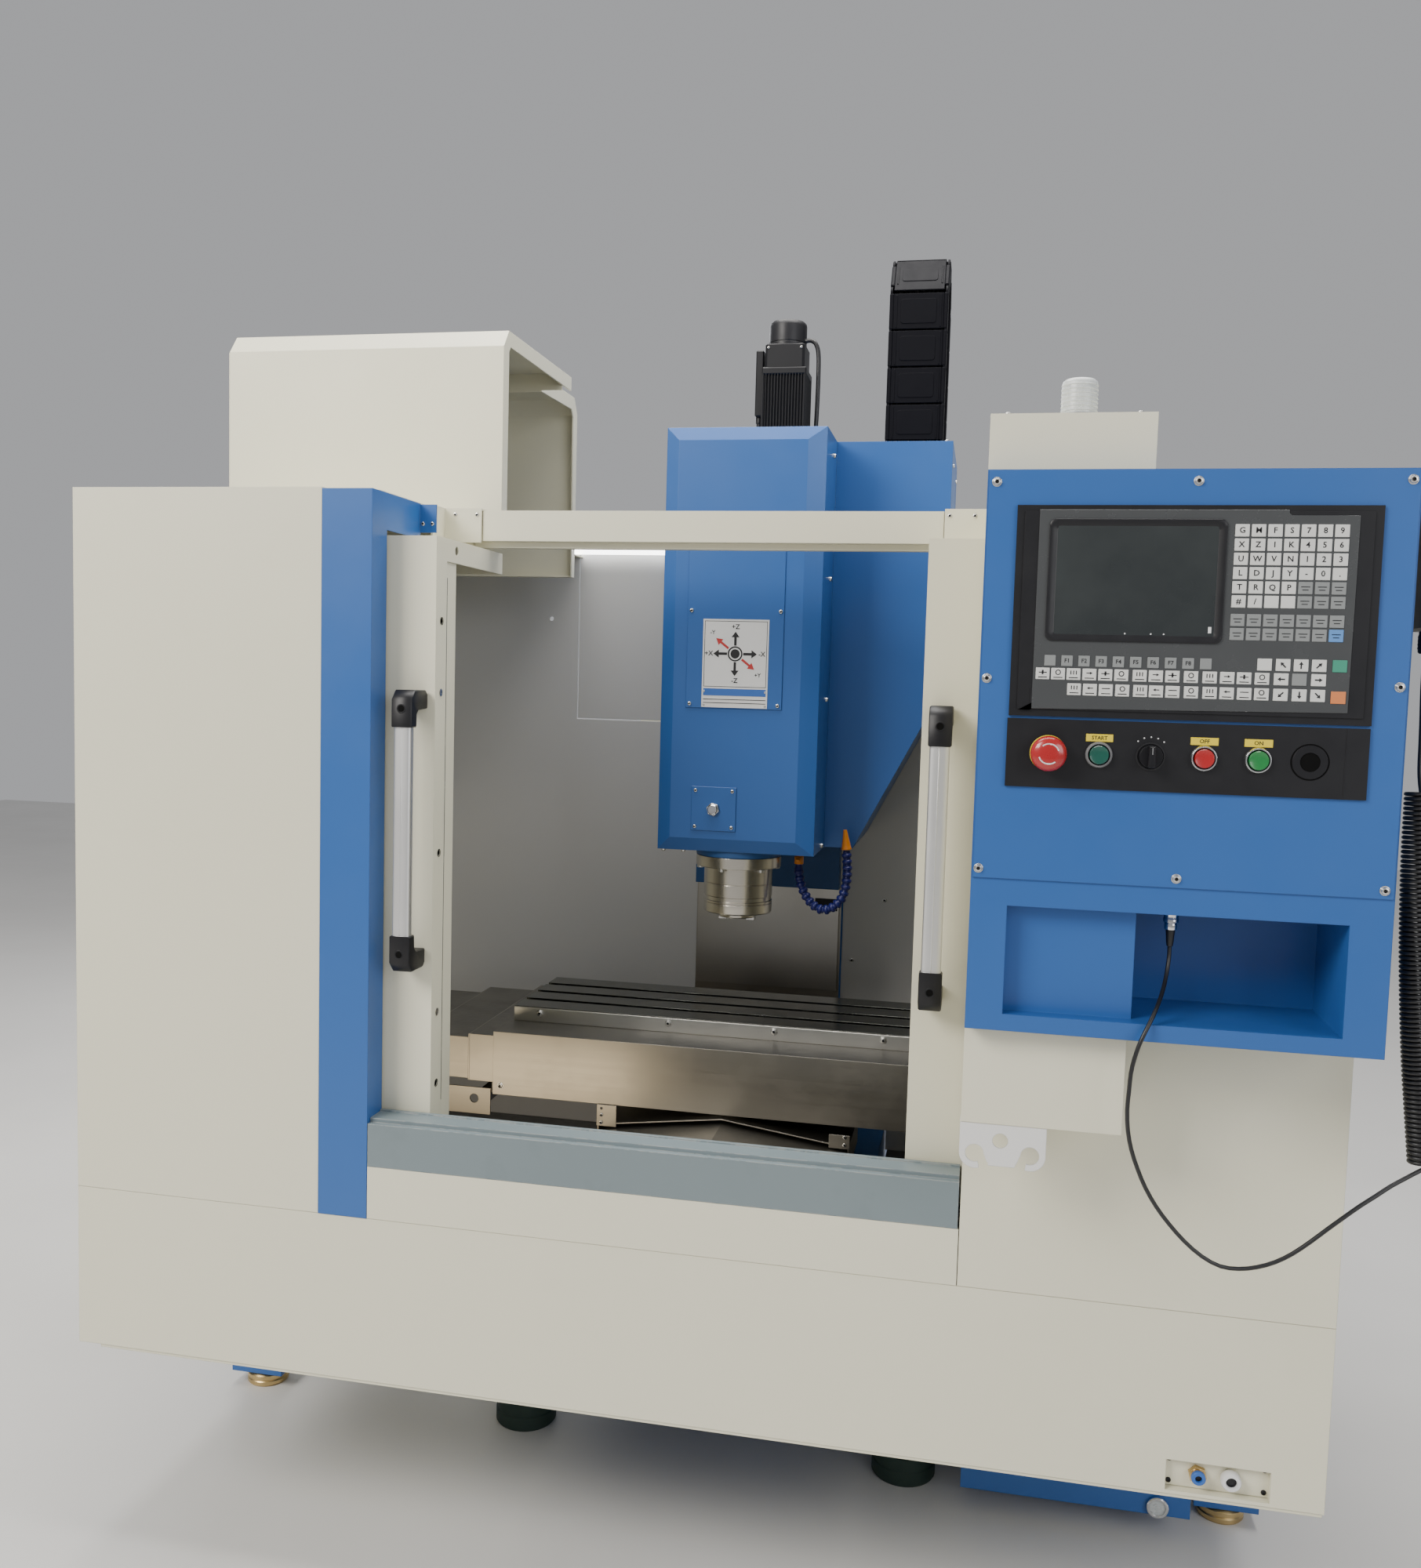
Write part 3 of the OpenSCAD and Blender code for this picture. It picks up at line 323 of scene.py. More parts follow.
# ------------------------------------------------------------------ mesh builder, in machine mm
class G:
    """Collects chamfered boxes, turned shapes, tubes and prisms into one mesh piece."""
    def __init__(s, name, body, slot, material, angle=32):
        s.name, s.body, s.slot, s.angle = name, body, slot, angle
        s.v, s.f, s.mi, s.mats, s.cur, s.xf = [], [], [], [material], 0, None
    def use(s, key):
        if key not in s.mats: s.mats.append(key)
        s.cur = s.mats.index(key); return s
    def add(s, vs, fs):
        o = len(s.v)
        if s.xf is not None: vs = [tuple(s.xf @ Vector(v)) for v in vs]
        s.v += vs
        s.f += [[i + o for i in f] for f in fs]
        s.mi += [s.cur] * len(fs)
        return s
    def box(s, x0, x1, y0, y1, z0, z1, r=0.8):
        lo, hi = (x0, y0, z0), (x1, y1, z1)
        r = min(r, 0.45 * min(hi[i] - lo[i] for i in range(3)))
        idx, vs, fs = {}, [], []
        for c in [(a, b, d) for a in (0, 1) for b in (0, 1) for d in (0, 1)]:
            for a in range(3):
                p = [(hi[i] if c[i] else lo[i]) if i == a else ((hi[i] - r) if c[i] else (lo[i] + r)) for i in range(3)]
                idx[(c, a)] = len(vs); vs.append(tuple(p))
        def cr(a, sa, b, sb, d, sd):
            c = [0, 0, 0]; c[a] = sa; c[b] = sb; c[d] = sd; return tuple(c)
        for a in range(3):
            b, d = (a + 1) % 3, (a + 2) % 3
            for sa in (0, 1):
                fs.append([idx[(cr(a, sa, b, i, d, j), a)] for i, j in ((0, 0), (1, 0), (1, 1), (0, 1))])
            for sa in (0, 1):
                for sb in (0, 1):
                    c0, c1 = cr(a, sa, b, sb, d, 0), cr(a, sa, b, sb, d, 1)
                    fs.append([idx[(c0, a)], idx[(c1, a)], idx[(c1, b)], idx[(c0, b)]])
        for c in [(a, b, d) for a in (0, 1) for b in (0, 1) for d in (0, 1)]:
            fs.append([idx[(c, 0)], idx[(c, 1)], idx[(c, 2)]])
        return s.add(vs, fs)
    def lathe(s, prof, at, axis=(0, 0, 1), seg=32):
        ax = Vector(axis).normalized()
        a = ax.orthogonal().normalized(); b = ax.cross(a); c = Vector(at)
        vs, fs, rings = [], [], []
        for r, h in prof:
            if r < 1e-6:
                rings.append([len(vs)]); vs.append(tuple(c + ax * h))
            else:
                rings.append(list(range(len(vs), len(vs) + seg)))
                for k in range(seg):
                    t = 2 * math.pi * k / seg
                    vs.append(tuple(c + ax * h + (a * math.cos(t) + b * math.sin(t)) * r))
        for p, n in zip(rings, rings[1:]):
            for k in range(seg):
                k2 = (k + 1) % seg
                if len(p) == 1 and len(n) == 1: continue
                if len(p) == 1: fs.append([p[0], n[k], n[k2]])
                elif len(n) == 1: fs.append([p[k], p[k2], n[0]])
                else: fs.append([p[k], p[k2], n[k2], n[k]])
        return s.add(vs, fs)
    def disc(s, at, axis, r, h, ch=0.5, seg=32):
        ch = min(ch, h * 0.45, r * 0.45)
        return s.lathe([(0, 0), (r - ch * 0.3, 0), (r, ch * 0.3), (r, h - ch), (r - ch, h), (0, h)], at, axis, seg)
    def tube(s, pts, r, seg=12, caps=True):
        pts = [Vector(p) for p in pts]
        rr = r if isinstance(r, (list, tuple)) else [r] * len(pts)
        t0 = (pts[1] - pts[0]).normalized(); nrm = t0.orthogonal().normalized()
        vs, fs = [], []
        for i, p in enumerate(pts):
            t = (pts[min(i + 1, len(pts) - 1)] - pts[max(i - 1, 0)]).normalized()
            nrm = (nrm - t * nrm.dot(t)).normalized(); bn = t.cross(nrm)
            for k in range(seg):
                a = 2 * math.pi * k / seg
                vs.append(tuple(p + (nrm * math.cos(a) + bn * math.sin(a)) * rr[i]))
        for i in range(len(pts) - 1):
            for k in range(seg):
                k2 = (k + 1) % seg
                fs.append([i * seg + k, i * seg + k2, (i + 1) * seg + k2, (i + 1) * seg + k])
        if caps:
            fs.append(list(range(seg))); fs.append([(len(pts) - 1) * seg + k for k in range(seg)])
        return s.add(vs, fs)
    def prism(s, poly, plane, a0, a1, inset=0.0):
        """Polygon in a plane ('xz', 'yz' or 'xy') drawn out along the third axis, with a chamfer on both rims."""
        def at(u, w, d):
            return {"xz": (u, d, w), "yz": (d, u, w), "xy": (u, w, d)}[plane]
        n = len(poly)
        def shrink(k):
            if k == 0: return poly
            area = sum(poly[i][0] * poly[(i + 1) % n][1] - poly[(i + 1) % n][0] * poly[i][1] for i in range(n))
            sg = 1 if area > 0 else -1
            out = []
            for i in range(n):
                p0, p1, p2 = Vector(poly[i - 1]), Vector(poly[i]), Vector(poly[(i + 1) % n])
                e1, e2 = (p1 - p0).normalized(), (p2 - p1).normalized()
                n1, n2 = Vector((-e1.y, e1.x)) * sg, Vector((-e2.y, e2.x)) * sg
                d = (n1 + n2); d = d / max(0.2, (1 + n1.dot(n2)))
                out.append(tuple(p1 + d * k))
            return out
        layers = [(a0, inset), (a0 + inset, 0), (a1 - inset, 0), (a1, inset)] if inset else [(a0, 0), (a1, 0)]
        vs, fs = [], []
        for d, k in layers:
            vs += [at(u, w, d) for u, w in shrink(k)]
        for L in range(len(layers) - 1):
            for i in range(n):
                j = (i + 1) % n
                fs.append([L * n + i, L * n + j, (L + 1) * n + j, (L + 1) * n + i])
        fs.append(list(range(n))); fs.append([(len(layers) - 1) * n + i for i in range(n)])
        return s.add(vs, fs)
    def screw(s, at, axis, r=4.2, h=2.6, mat="zinc", socket="ink", hexa=True):
        k = s.cur
        s.use(mat).lathe([(0, 0), (r, 0), (r, h * 0.45), (r * 0.86, h * 0.85), (r * 0.62, h), (r * 0.5, h)], at, axis, 20)
        # the socket recess is coloured black ink: painted shade in the recess
        s.use(socket).lathe([(r * 0.5, h), (r * 0.46, h * 0.35), (0, h * 0.35)], at, axis, 6 if hexa else 12)
        s.cur = k; return s
    def hexnut(s, at, axis, r=10, h=8):
        return s.lathe([(0, 0), (r * 0.94, 0), (r, h * 0.15), (r, h * 0.85), (r * 0.94, h), (0, h)], at, axis, 6)
    def text(s, items, plane_y, size_mat=None, depth=0.25):
        """Flat characters on a face that looks to -Y; items are (text, x, z, height)."""
        for word, x, z, hgt in items:
            cu = bpy.data.curves.new("t", "FONT"); cu.body = word; cu.size = hgt * 1.35
            cu.align_x = "CENTER"; cu.align_y = "CENTER"; cu.resolution_u = 2; cu.offset = hgt * 0.022
            ob = bpy.data.objects.new("t", cu); scene.collection.objects.link(ob)
            dg = bpy.context.evaluated_depsgraph_get()
            me = ob.evaluated_get(dg).to_mesh()
            vs = [(x + v.co.x, plane_y, z + v.co.y) for v in me.vertices]
            fs = [list(p.vertices) for p in me.polygons]
            s.add(vs, fs)
            ob.evaluated_get(dg).to_mesh_clear()
            bpy.data.objects.remove(ob); bpy.data.curves.remove(cu)
        return s
    def done(s, *replaced, normals=True):
        me = bpy.data.meshes.new(s.name)
        me.from_pydata([tuple(q(*v)) for v in s.v], [], s.f)
        for k in s.mats: me.materials.append(M[k])
        me.polygons.foreach_set("material_index", s.mi)
        if normals:
            bm = bmesh.new(); bm.from_mesh(me)
            bmesh.ops.recalc_face_normals(bm, faces=bm.faces)
            bm.to_mesh(me); bm.free()
        me.polygons.foreach_set("use_smooth", [True] * len(me.polygons))
        me.set_sharp_from_angle(angle=math.radians(s.angle))
        me.update()
        ob = bpy.data.objects.new(s.name, me)
        scene.collection.objects.link(ob)
        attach(ob, s.body)
        if replaced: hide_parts(*replaced)
        return ob

def smooth_path(pts, per=6):
    """Catmull-Rom through the points."""
    P = [Vector(p) for p in pts]
    out = []
    for i in range(len(P) - 1):
        p0, p1, p2, p3 = P[max(i - 1, 0)], P[i], P[i + 1], P[min(i + 2, len(P) - 1)]
        for k in range(per):
            t = k / per
            out.append(0.5 * ((2 * p1) + (p2 - p0) * t + (2 * p0 - 5 * p1 + 4 * p2 - p3) * t * t + (3 * p1 - p0 - 3 * p2 + p3) * t ** 3))
    out.append(P[-1]); return out

# ------------------------------------------------------------------ pendant cord (the route repeats part.scad's)
lead_low = [(651, -88, 1041.5), (651, -89, 1032), (650, -92, 1022), (648, -98, 1011), (645, -108, 1001), (641, -121, 992),
    (636, -135, 983), (630, -148, 973), (624, -156, 962), (618, -161, 950), (613, -163, 937), (609, -163, 922), (606, -163, 905),
    (605, -163, 885), (604, -163, 862), (606, -162, 838), (611, -161, 815), (619, -161, 793), (629, -160, 771), (642, -160, 750),
    (657, -159, 731), (675, -158, 712), (695, -157, 696), (716, -156, 686), (737, -153, 684), (757, -150, 687), (777, -147, 694),
    (796, -144, 705), (815, -141, 720), (833, -137, 735), (851, -132, 749), (869, -126, 762), (887, -119, 773), (904, -111, 783),
    (921, -103, 791), (936, -95.5, 797.5)]
coil_axis = [(944, -80, 798), (938, -80, 850), (930, -80, 920), (923, -80, 1000), (918, -80, 1080), (915, -80, 1160), (914, -80, 1238)]
lead_top = [(914, -87, 1247), (914, -82.5, 1258), (914, -80, 1272), (914, -79, 1290), (913.5, -78, 1320), (913, -76, 1350), (913, -75, 1375), (913, -75, 1397)]
axis_s = smooth_path(coil_axis, 12)
def axis_at(z):
    for a, b in zip(axis_s, axis_s[1:]):
        if a.z <= z <= b.z: return a.lerp(b, (z - a.z) / (b.z - a.z))
    return axis_s[0] if z < axis_s[0].z else axis_s[-1]
TURNS, PER = 78, 18
z0, z1 = 801.0, 1236.0
helix = []
for i in range(TURNS * PER + 1):
    t = i / (TURNS * PER); z = z0 + (z1 - z0) * t
    a = 2 * math.pi * i / PER - math.pi / 2
    c = axis_at(z)
    helix.append(Vector((c.x + 12 * math.cos(a), c.y + 12 * math.sin(a), z)))
low = smooth_path(lead_low + [tuple(helix[1])], 2)[:-1]
top = smooth_path([tuple(helix[-2]), tuple(helix[-1])] + lead_top, 4)[4:]
route = low[:-1] + helix + top[1:]
cu = bpy.data.curves.new("pendant_cable", "CURVE"); cu.dimensions = "3D"
sp = cu.splines.new("POLY"); sp.points.add(len(route) - 1)
for p, r in zip(sp.points, route): p.co = (*q(*r), 1)
cu.bevel_depth = 0.0025; cu.bevel_resolution = 2; cu.use_fill_caps = True
cu.materials.append(M["cordm"])
cable = bpy.data.objects.new("pendant_cable", cu); scene.collection.objects.link(cable)
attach(cable, "machine")
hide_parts("pendant_cord")
g = G("pendant_plug_shell", "machine", "chrome", "chrome")
g.use("cordm").lathe([(2.6, 0), (3.6, 0.4), (4.4, 6), (5.0, 14), (5.6, 20), (5.6, 21)], (651, -88, 1042), seg=24)
g.use("chrome").lathe([(5.2, 20), (7, 20.5), (7.4, 21.5), (7.4, 27.5), (7, 28.5), (8, 29), (9, 29.6), (9, 34), (8.4, 35), (8.4, 37), (9, 38), (9, 44), (8, 46.5), (0, 46.7)], (651, -88, 1042), seg=32)
plug = g.done("pendant_plug")

# ------------------------------------------------------------------ control panel
FY = -152.5
g = G("face_screws", "machine", "steel", "zinc")
for x, z in [(426.7, 1578.5), (646.9, 1579), (867.7, 1580), (424.5, 1354), (867.7, 1355.5), (424.1, 1132), (645.5, 1131.5), (866.1, 1130.5)]:
    g.use("zinc").disc((x, FY - 0.05, z), (0, -1, 0), 5.6, 0.8, 0.3, 24)
    g.screw((x, FY - 0.8, z), (0, -1, 0), 4.3, 2.8)
g.done()

g = G("panel_film", "machine", "film", "film")
g.prism([(476, 1320.5), (814.4, 1325.5), (815.5, 1540.5), (745.5, 1540.5), (742.5, 1543), (742.5, 1546.6), (476, 1546.6)], "xz", -159.2, -157.9, 0.3)
g.use("bezel").prism([(462, 1319), (474, 1319), (474, 1344), (505, 1344), (505, 1322), (474, 1322)], "xz", -159.0, -157.9, 0.2)
g.done()

g = G("screen_frame", "machine", "black_plastic", "bezel", 40)
x0, x1, za, zb = 487.5, 679, 1398.5, 1536
def rring(g, x0, x1, z0, z1, rad, w, ya, yb):
    """Rounded rectangular ring with sloping inside."""
    def loop(x0, x1, z0, z1, rad, y, n=6):
        pts = []
        for cx_, cz_, a0 in ((x1 - rad, z1 - rad, 0), (x0 + rad, z1 - rad, 90), (x0 + rad, z0 + rad, 180), (x1 - rad, z0 + rad, 270)):
            for k in range(n + 1):
                a = math.radians(a0 + 90 * k / n)
                pts.append((cx_ + rad * math.cos(a), y, cz_ + rad * math.sin(a)))
        return pts
    loops = [loop(x0, x1, z0, z1, rad, ya), loop(x0, x1, z0, z1, rad, yb + 0.6), loop(x0 + 0.6, x1 - 0.6, z0 + 0.6, z1 - 0.6, rad, yb),
             loop(x0 + w * 0.45, x1 - w * 0.45, z0 + w * 0.45, z1 - w * 0.45, rad, yb), loop(x0 + w, x1 - w, z0 + w, z1 - w, max(1.0, rad - w * 0.4), ya - 0.1)]
    n = len(loops[0]); vs = [p for L in loops for p in L]; fs = []
    for L in range(len(loops) - 1):
        for i in range(n):
            j = (i + 1) % n
            fs.append([L * n + i, L * n + j, (L + 1) * n + j, (L + 1) * n + i])
    g.add(vs, fs)
rring(g, x0, x1, za, zb, 7, 9, -158.8, -161.6)
g.done()
g = G("screen_glass", "machine", "film", "screen")
g.prism([(497, 1403), (670, 1403), (670, 1531), (497, 1531)], "xz", -159.6, -158.9, 0.2)
g.use("label").box(664, 667.5, -159.9, -159.5, 1410, 1417, 0.1)
for x in (575, 603, 617): g.use("label").lathe([(0, 0.1), (0.9, 0.1), (0.9, 0)], (x, -159.6, 1408), (0, -1, 0), 10)
g.done()

kz = [1523.9 - 15.62 * i for i in range(6)] + [1425.3, 1409.8]
kx = [694.5 + 17.2 * i for i in range(7)]
legend = ["GMFS789", "XZIK456", "UWVN123", "LDJY-0.", "TRQP", "#/"]
g = G("keys", "machine", "film", "key")
ink = []
for r, z in enumerate(kz):
    for c, x in enumerate(kx):
        key = "key"
        if r in (4, 5) and c >= 4: key = "key_d"
        if r >= 6: key = "key_d"
        if r == 7 and c == 6: key = "key_b"
        g.use(key).box(x - 7.5, x + 7.5, -160.1, -159.1, z - 6.8, z + 6.8, 0.5)
        if r < 6 and c < len(legend[r]): ink.append((legend[r][c], x, z, 6.6))
for i in range(10):
    g.use("key_d").box(494.5 + 18.8 * i - 6.3, 494.5 + 18.8 * i + 6.3, -160.1, -159.1, 1369.8, 1382.2, 0.5)
    if 0 < i < 9: ink.append(("F%d" % i, 494.5 + 18.8 * i, 1376, 4.8))
for x in (725.6, 744.9, 763.6, 782.3): g.use("key").box(x - 7.6, x + 7.6, -160.1, -159.1, 1370, 1383.4, 0.5)
g.use("key_g").box(796, 811, -160.1, -159.1, 1370, 1383.4, 0.5)
rowb = [407, 456, 505, 555, 605, 655, 712, 762, 813, 870, 927, 980, 1031, 1085, 1142, 1196, 1253]
for i, px in enumerate(rowb):
    x = 486.9 + (px - 407) * 0.3494
    g.use("key_d" if i == 15 else "key").box(x - 7.7, x + 7.7, -160.1, -159.1, 1354.3, 1367.6, 0.5)
rowc = [503, 553, 603, 655, 711, 760, 811, 868, 925, 977, 1030, 1082, 1139, 1195, 1250]
for px in rowc:
    x = 522.5 + (px - 503) * 0.3481
    g.use("key").box(x - 7.7, x + 7.7, -160.1, -159.1, 1337, 1350.5, 0.5)
g.use("key_o").box(796, 811.5, -160.1, -159.1, 1335.5, 1349, 0.5)
g.done()
g = G("key_legends", "machine", "black_plastic", "ink")
g.text(ink, -160.25)
for r, z in enumerate(kz):
    for c, x in enumerate(kx):
        if (r in (4, 5) and c >= 4) or r >= 6:
            g.box(x - 4.6, x + 4.6, -160.3, -160.1, z + 0.8, z + 1.7, 0.05).box(x - 3.2, x + 3.2, -160.3, -160.1, z - 2.6, z - 1.7, 0.05)
def arrow(g, x, z, dx, dz, L, w, y, head=0.42):
    d = Vector((dx, dz)).normalized(); n = Vector((-d.y, d.x)); c = Vector((x, z))
    a, b, t = c - d * L / 2, c + d * L * (0.5 - head), c + d * L / 2
    P = [a - n * w / 2, b - n * w / 2, b - n * w * 1.6, t, b + n * w * 1.6, b + n * w / 2, a + n * w / 2]
    g.add([(p.x, y, p.y) for p in P], [list(range(7))])
for x, z, dx, dz in [(744.9, 1376.8, -1, 1), (763.6, 1376.8, 0, 1), (782.3, 1376.8, 1, 1), (743.7, 1361, -1, 0), (782.5, 1361, 1, 0),
                     (743.9, 1343.8, -1, -1), (763.4, 1343.8, 0, -1), (782.5, 1343.8, 1, -1)]:
    arrow(g, x, z, dx, dz, 8, 1.5, -160.25)
# small generic pictograms: bars, ring and wave marks
for i, px in enumerate(rowb[:14]):
    x = 486.9 + (px - 407) * 0.3494
    k = i % 4
    if k == 0: g.box(x - 4.5, x + 4.5, -160.3, -160.1, 1361.8, 1362.8, 0.05); g.box(x - 1, x + 1, -160.3, -160.1, 1360, 1365, 0.05)
    elif k == 1: g.lathe([(2.1, 0), (2.1, 0.15), (3.1, 0.15), (3.1, 0)], (x, -160.1, 1362.6), (0, -1, 0), 16)
    elif k == 2:
        for j in (-3, 0, 3): g.box(x + j - 0.5, x + j + 0.5, -160.3, -160.1, 1360.5, 1365, 0.05)
    else: arrow(g, x, 1362.5, 1, 0, 7, 1.0, -160.25)
    g.box(x - 5, x + 5, -160.3, -160.1, 1356.3, 1357.3, 0.05)
for i, px in enumerate(rowc[:12]):
    x = 522.5 + (px - 503) * 0.3481
    k = (i + 2) % 4
    if k == 0: g.box(x - 4.5, x + 4.5, -160.3, -160.1, 1345, 1346, 0.05)
    elif k == 1: g.lathe([(2.1, 0), (2.1, 0.15), (3.1, 0.15), (3.1, 0)], (x, -160.1, 1345.6), (0, -1, 0), 16)
    elif k == 2:
        for j in (-3, 0, 3): g.box(x + j - 0.5, x + j + 0.5, -160.3, -160.1, 1343.5, 1348, 0.05)
    else: arrow(g, x, 1345.5, -1, 0, 7, 1.0, -160.25)
    g.box(x - 5, x + 5, -160.3, -160.1, 1339.2, 1340.2, 0.05)
g.done(normals=False)

# push buttons: metal or plastic collars on the plate, tags above
BX, BZ = [497, 553.5, 610, 667.5, 725, 779.6], 1270
g = G("button_collars", "machine", "black_plastic", "bezel")
g.use("yellow").lathe([(15, 0), (20.5, 0), (20.5, 0.5), (15, 0.5)], (BX[0], -156, BZ), (0, -1, 0), 40)
g.use("grey_cap").lathe([(12.2, 0), (15, 0), (15, 3), (13.8, 5), (12.2, 5), (12.2, 0)], (BX[1], -156, BZ), (0, -1, 0), 40)
for i in (3, 4): g.use("chrome").lathe([(12.2, 0), (14.8, 0), (14.8, 3), (13.6, 5.2), (12.2, 5.2), (12.2, 0)], (BX[i], -156, BZ), (0, -1, 0), 40)
g.use("ink").lathe([(14.4, 0), (16, 0), (16, 1.5), (14.4, 1.5)], (BX[2], -156, BZ), (0, -1, 0), 40)
# round blank with a hole
g.use("black").lathe([(10.4, 0.2), (10.6, 1.4), (18.5, 1.4), (19, 0.8), (19, 0)], (BX[5], -156, BZ), (0, -1, 0), 48)
# dark disc and ring: painted shade in the hole and in the gap around the blank
g.use("hole").lathe([(0, 0.5), (9.8, 0.6), (10.6, 1.5)], (BX[5], -156, BZ), (0, -1, 0), 40)
g.use("hole").lathe([(19.2, 0), (19.2, 0.5), (20.4, 0.5), (20.4, 0)], (BX[5], -156, BZ), (0, -1, 0), 48)
for x in (BX[1], BX[3], BX[4]): g.use("yellow").box(x - 15, x + 15, -156.8, -155.9, 1284.8, 1293.5, 0.3)
g.use("ink").text([("START", BX[1], 1289.1, 4.4), ("OFF", BX[3], 1289.1, 4.6), ("ON", BX[4], 1289.1, 4.6)], -156.95)
g.use("label")
for a in (-40, -20, 0, 20, 40):
    x, z = BX[2] + 22 * math.sin(math.radians(a)), BZ + 22 * math.cos(math.radians(a))
    g.lathe([(0, 0.15), (0.9, 0.15), (0.9, 0)], (x, -156, z), (0, -1, 0), 10)
g.use("bezel").box(815.5, 816.6, -156.3, -155.9, 1231, 1308, 0.1)
g.done()

g = G("estop_cap", "estop", "red", "red", 40)
g.lathe([(0, -5), (10.8, -5), (10.8, 5.4), (12, 6), (12, 10), (14, 12), (18.2, 13), (20.1, 15), (20.2, 20), (18.8, 23.6), (15.5, 26.2), (10, 27.8), (5, 28.4), (0, 28.5)], (BX[0], -157.2, BZ), (0, -1, 0), 48)
g.use("label")
for a0 in (20, 200):
    pts = []
    for k in range(9):
        a = math.radians(a0 + 110 * k / 8)
        pts.append((BX[0] + 11.3 * math.cos(a), -184.85, BZ + 11.3 * math.sin(a)))
    for p, n in zip(pts, pts[1:]):
        d = Vector((n[0] - p[0], 0, n[2] - p[2])).normalized(); s_ = Vector((-d.z, 0, d.x)) * 0.9
        g.add([tuple(Vector(p) - s_), tuple(Vector(n) - s_), tuple(Vector(n) + s_), tuple(Vector(p) + s_)], [[0, 1, 2, 3]])
g.done("estop_button")
for nm, i, body, mat, node in (("start_cap", 1, "start", "teal", "start_button"), ("stop_cap", 3, "stop", "red", "stop_button"), ("power_cap", 4, "power", "green", "power_button")):
    g = G(nm, body, "green" if i != 3 else "red", mat, 40)
    g.lathe([(0, 0), (10.7, 0), (10.8, 4), (10.7, 6.4), (9.9, 7.2), (9.1, 6.9), (0, 6.4)], (BX[i], -157.2, BZ), (0, -1, 0), 40)
    g.lathe([(0, 0), (10.5, 0), (10.5, 6), (0, 6)], (BX[i], -151.5, BZ), (0, -1, 0), 24)
    g.done(node)
g = G("selector_knob", "selector", "black_plastic", "black", 40)
g.lathe([(0, 0), (10.8, 0), (10.8, 6), (13.4, 6), (13.4, 11), (12.6, 13), (0, 13)], (BX[2], -152, BZ), (0, -1, 0), 40)
g.prism([(BX[2] - 4.4, BZ - 11.8), (BX[2] + 4.4, BZ - 11.8), (BX[2] + 3.4, BZ + 12), (BX[2] - 3.4, BZ + 12)], "xz", -177.8, -164.6, 1.2)
g.use("grey_cap").box(BX[2] - 0.6, BX[2] + 0.6, -178.0, -177.6, BZ + 3, BZ + 10.5, 0.1)
g.done("selector_switch")

# ------------------------------------------------------------------ hand-wheel pendant
PY = -75
g = G("pendant_case", "machine", "black_plastic", "black", 40)
def rbox_yz(g, x0, x1, y0, y1, z0, z1, rad, inset=2.0, n=6):
    poly = []
    for cy_, cz_, a0 in ((y1 - rad, z1 - rad, 0), (y0 + rad, z1 - rad, 90), (y0 + rad, z0 + rad, 180), (y1 - rad, z0 + rad, 270)):
        for k in range(n + 1):
            a = math.radians(a0 + 90 * k / n)
            poly.append((cy_ + rad * math.cos(a), cz_ + rad * math.sin(a)))
    g.prism(poly, "yz", x0, x1, inset)
rbox_yz(g, 903, 943, PY - 44, PY + 44, 1421, 1590, 10, 3)
g.use("grey_cap")
rbox_yz(g, 942.5, 943.6, PY - 38, PY + 38, 1440, 1584, 6, 0.3)
g.use("black")
for dy in (-22, 22):
    g.lathe([(0, 0), (10, 0), (10, 4), (9, 6), (8.5, 10), (7.5, 11), (0, 11)], (943.4, PY + dy, 1563), (1, 0, 0), 32)
    g.use("label").box(954.2, 954.6, PY + dy - 0.7, PY + dy + 0.7, 1564, 1570, 0.1); g.use("black")
g.use("alu").lathe([(30, 0), (34, 0), (34, 1.6), (33, 2.2), (29.5, 2.2), (29.5, 0)], (943.4, PY, 1480), (1, 0, 0), 64)
g.use("ink")
for k in range(50):
    a = 2 * math.pi * k / 50; r0 = 30.4 if k % 5 == 0 else 31.6
    d = Vector((0, math.cos(a), math.sin(a))); t = Vector((0, -d.z, d.y)) * 0.25; c = Vector((945.75, PY, 1480))
    g.add([tuple(c + d * r0 - t), tuple(c + d * 33 - t), tuple(c + d * 33 + t), tuple(c + d * r0 + t)], [[0, 1, 2, 3]])
g.use("black").lathe([(2.7, 0), (6, 0), (7.6, 2), (8, 10), (8, 20), (7.4, 22), (7.4, 25.5)], (913, PY, 1395), (0, 0, 1), 28)
for k in range(4): g.lathe([(7.6, 0), (8.2, 0.6), (8.2, 2), (7.6, 2.6)], (913, PY, 1400 + 4.2 * k), (0, 0, 1), 28)
g.use("zinc").box(878.1, 880.6, PY - 25, PY + 25, 1500, 1580, 0.5)
g.box(880.4, 903.2, PY - 20, PY + 20, 1552, 1555, 0.5)
g.box(900.6, 903.2, PY - 20, PY + 20, 1552, 1578, 0.5)
for z in (1512, 1568): g.screw((880.6, PY, z), (1, 0, 0), 4, 2.4)
g.done("pendant_body")
g = G("pendant_handwheel", "wheel", "black_plastic", "black", 40)
prof = [(0, 0), (26, 0), (28.6, 1.2), (28.9, 4), (28.6, 7.6), (26.5, 9.2), (22, 9.5), (20, 7.2), (8, 6.8), (6.5, 8.2), (0, 8.4)]
g.lathe(prof, (945.7, PY, 1480), (1, 0, 0), 56)
for k in range(28):
    a = 2 * math.pi * k / 28; d = Vector((0, math.cos(a), math.sin(a))) * 28.5
    g.lathe([(0, 1.6), (0.5, 1.6), (0.5, 7.2), (0, 7.2)], (945.7, PY + d.y, 1480 + d.z), (1, 0, 0), 6)
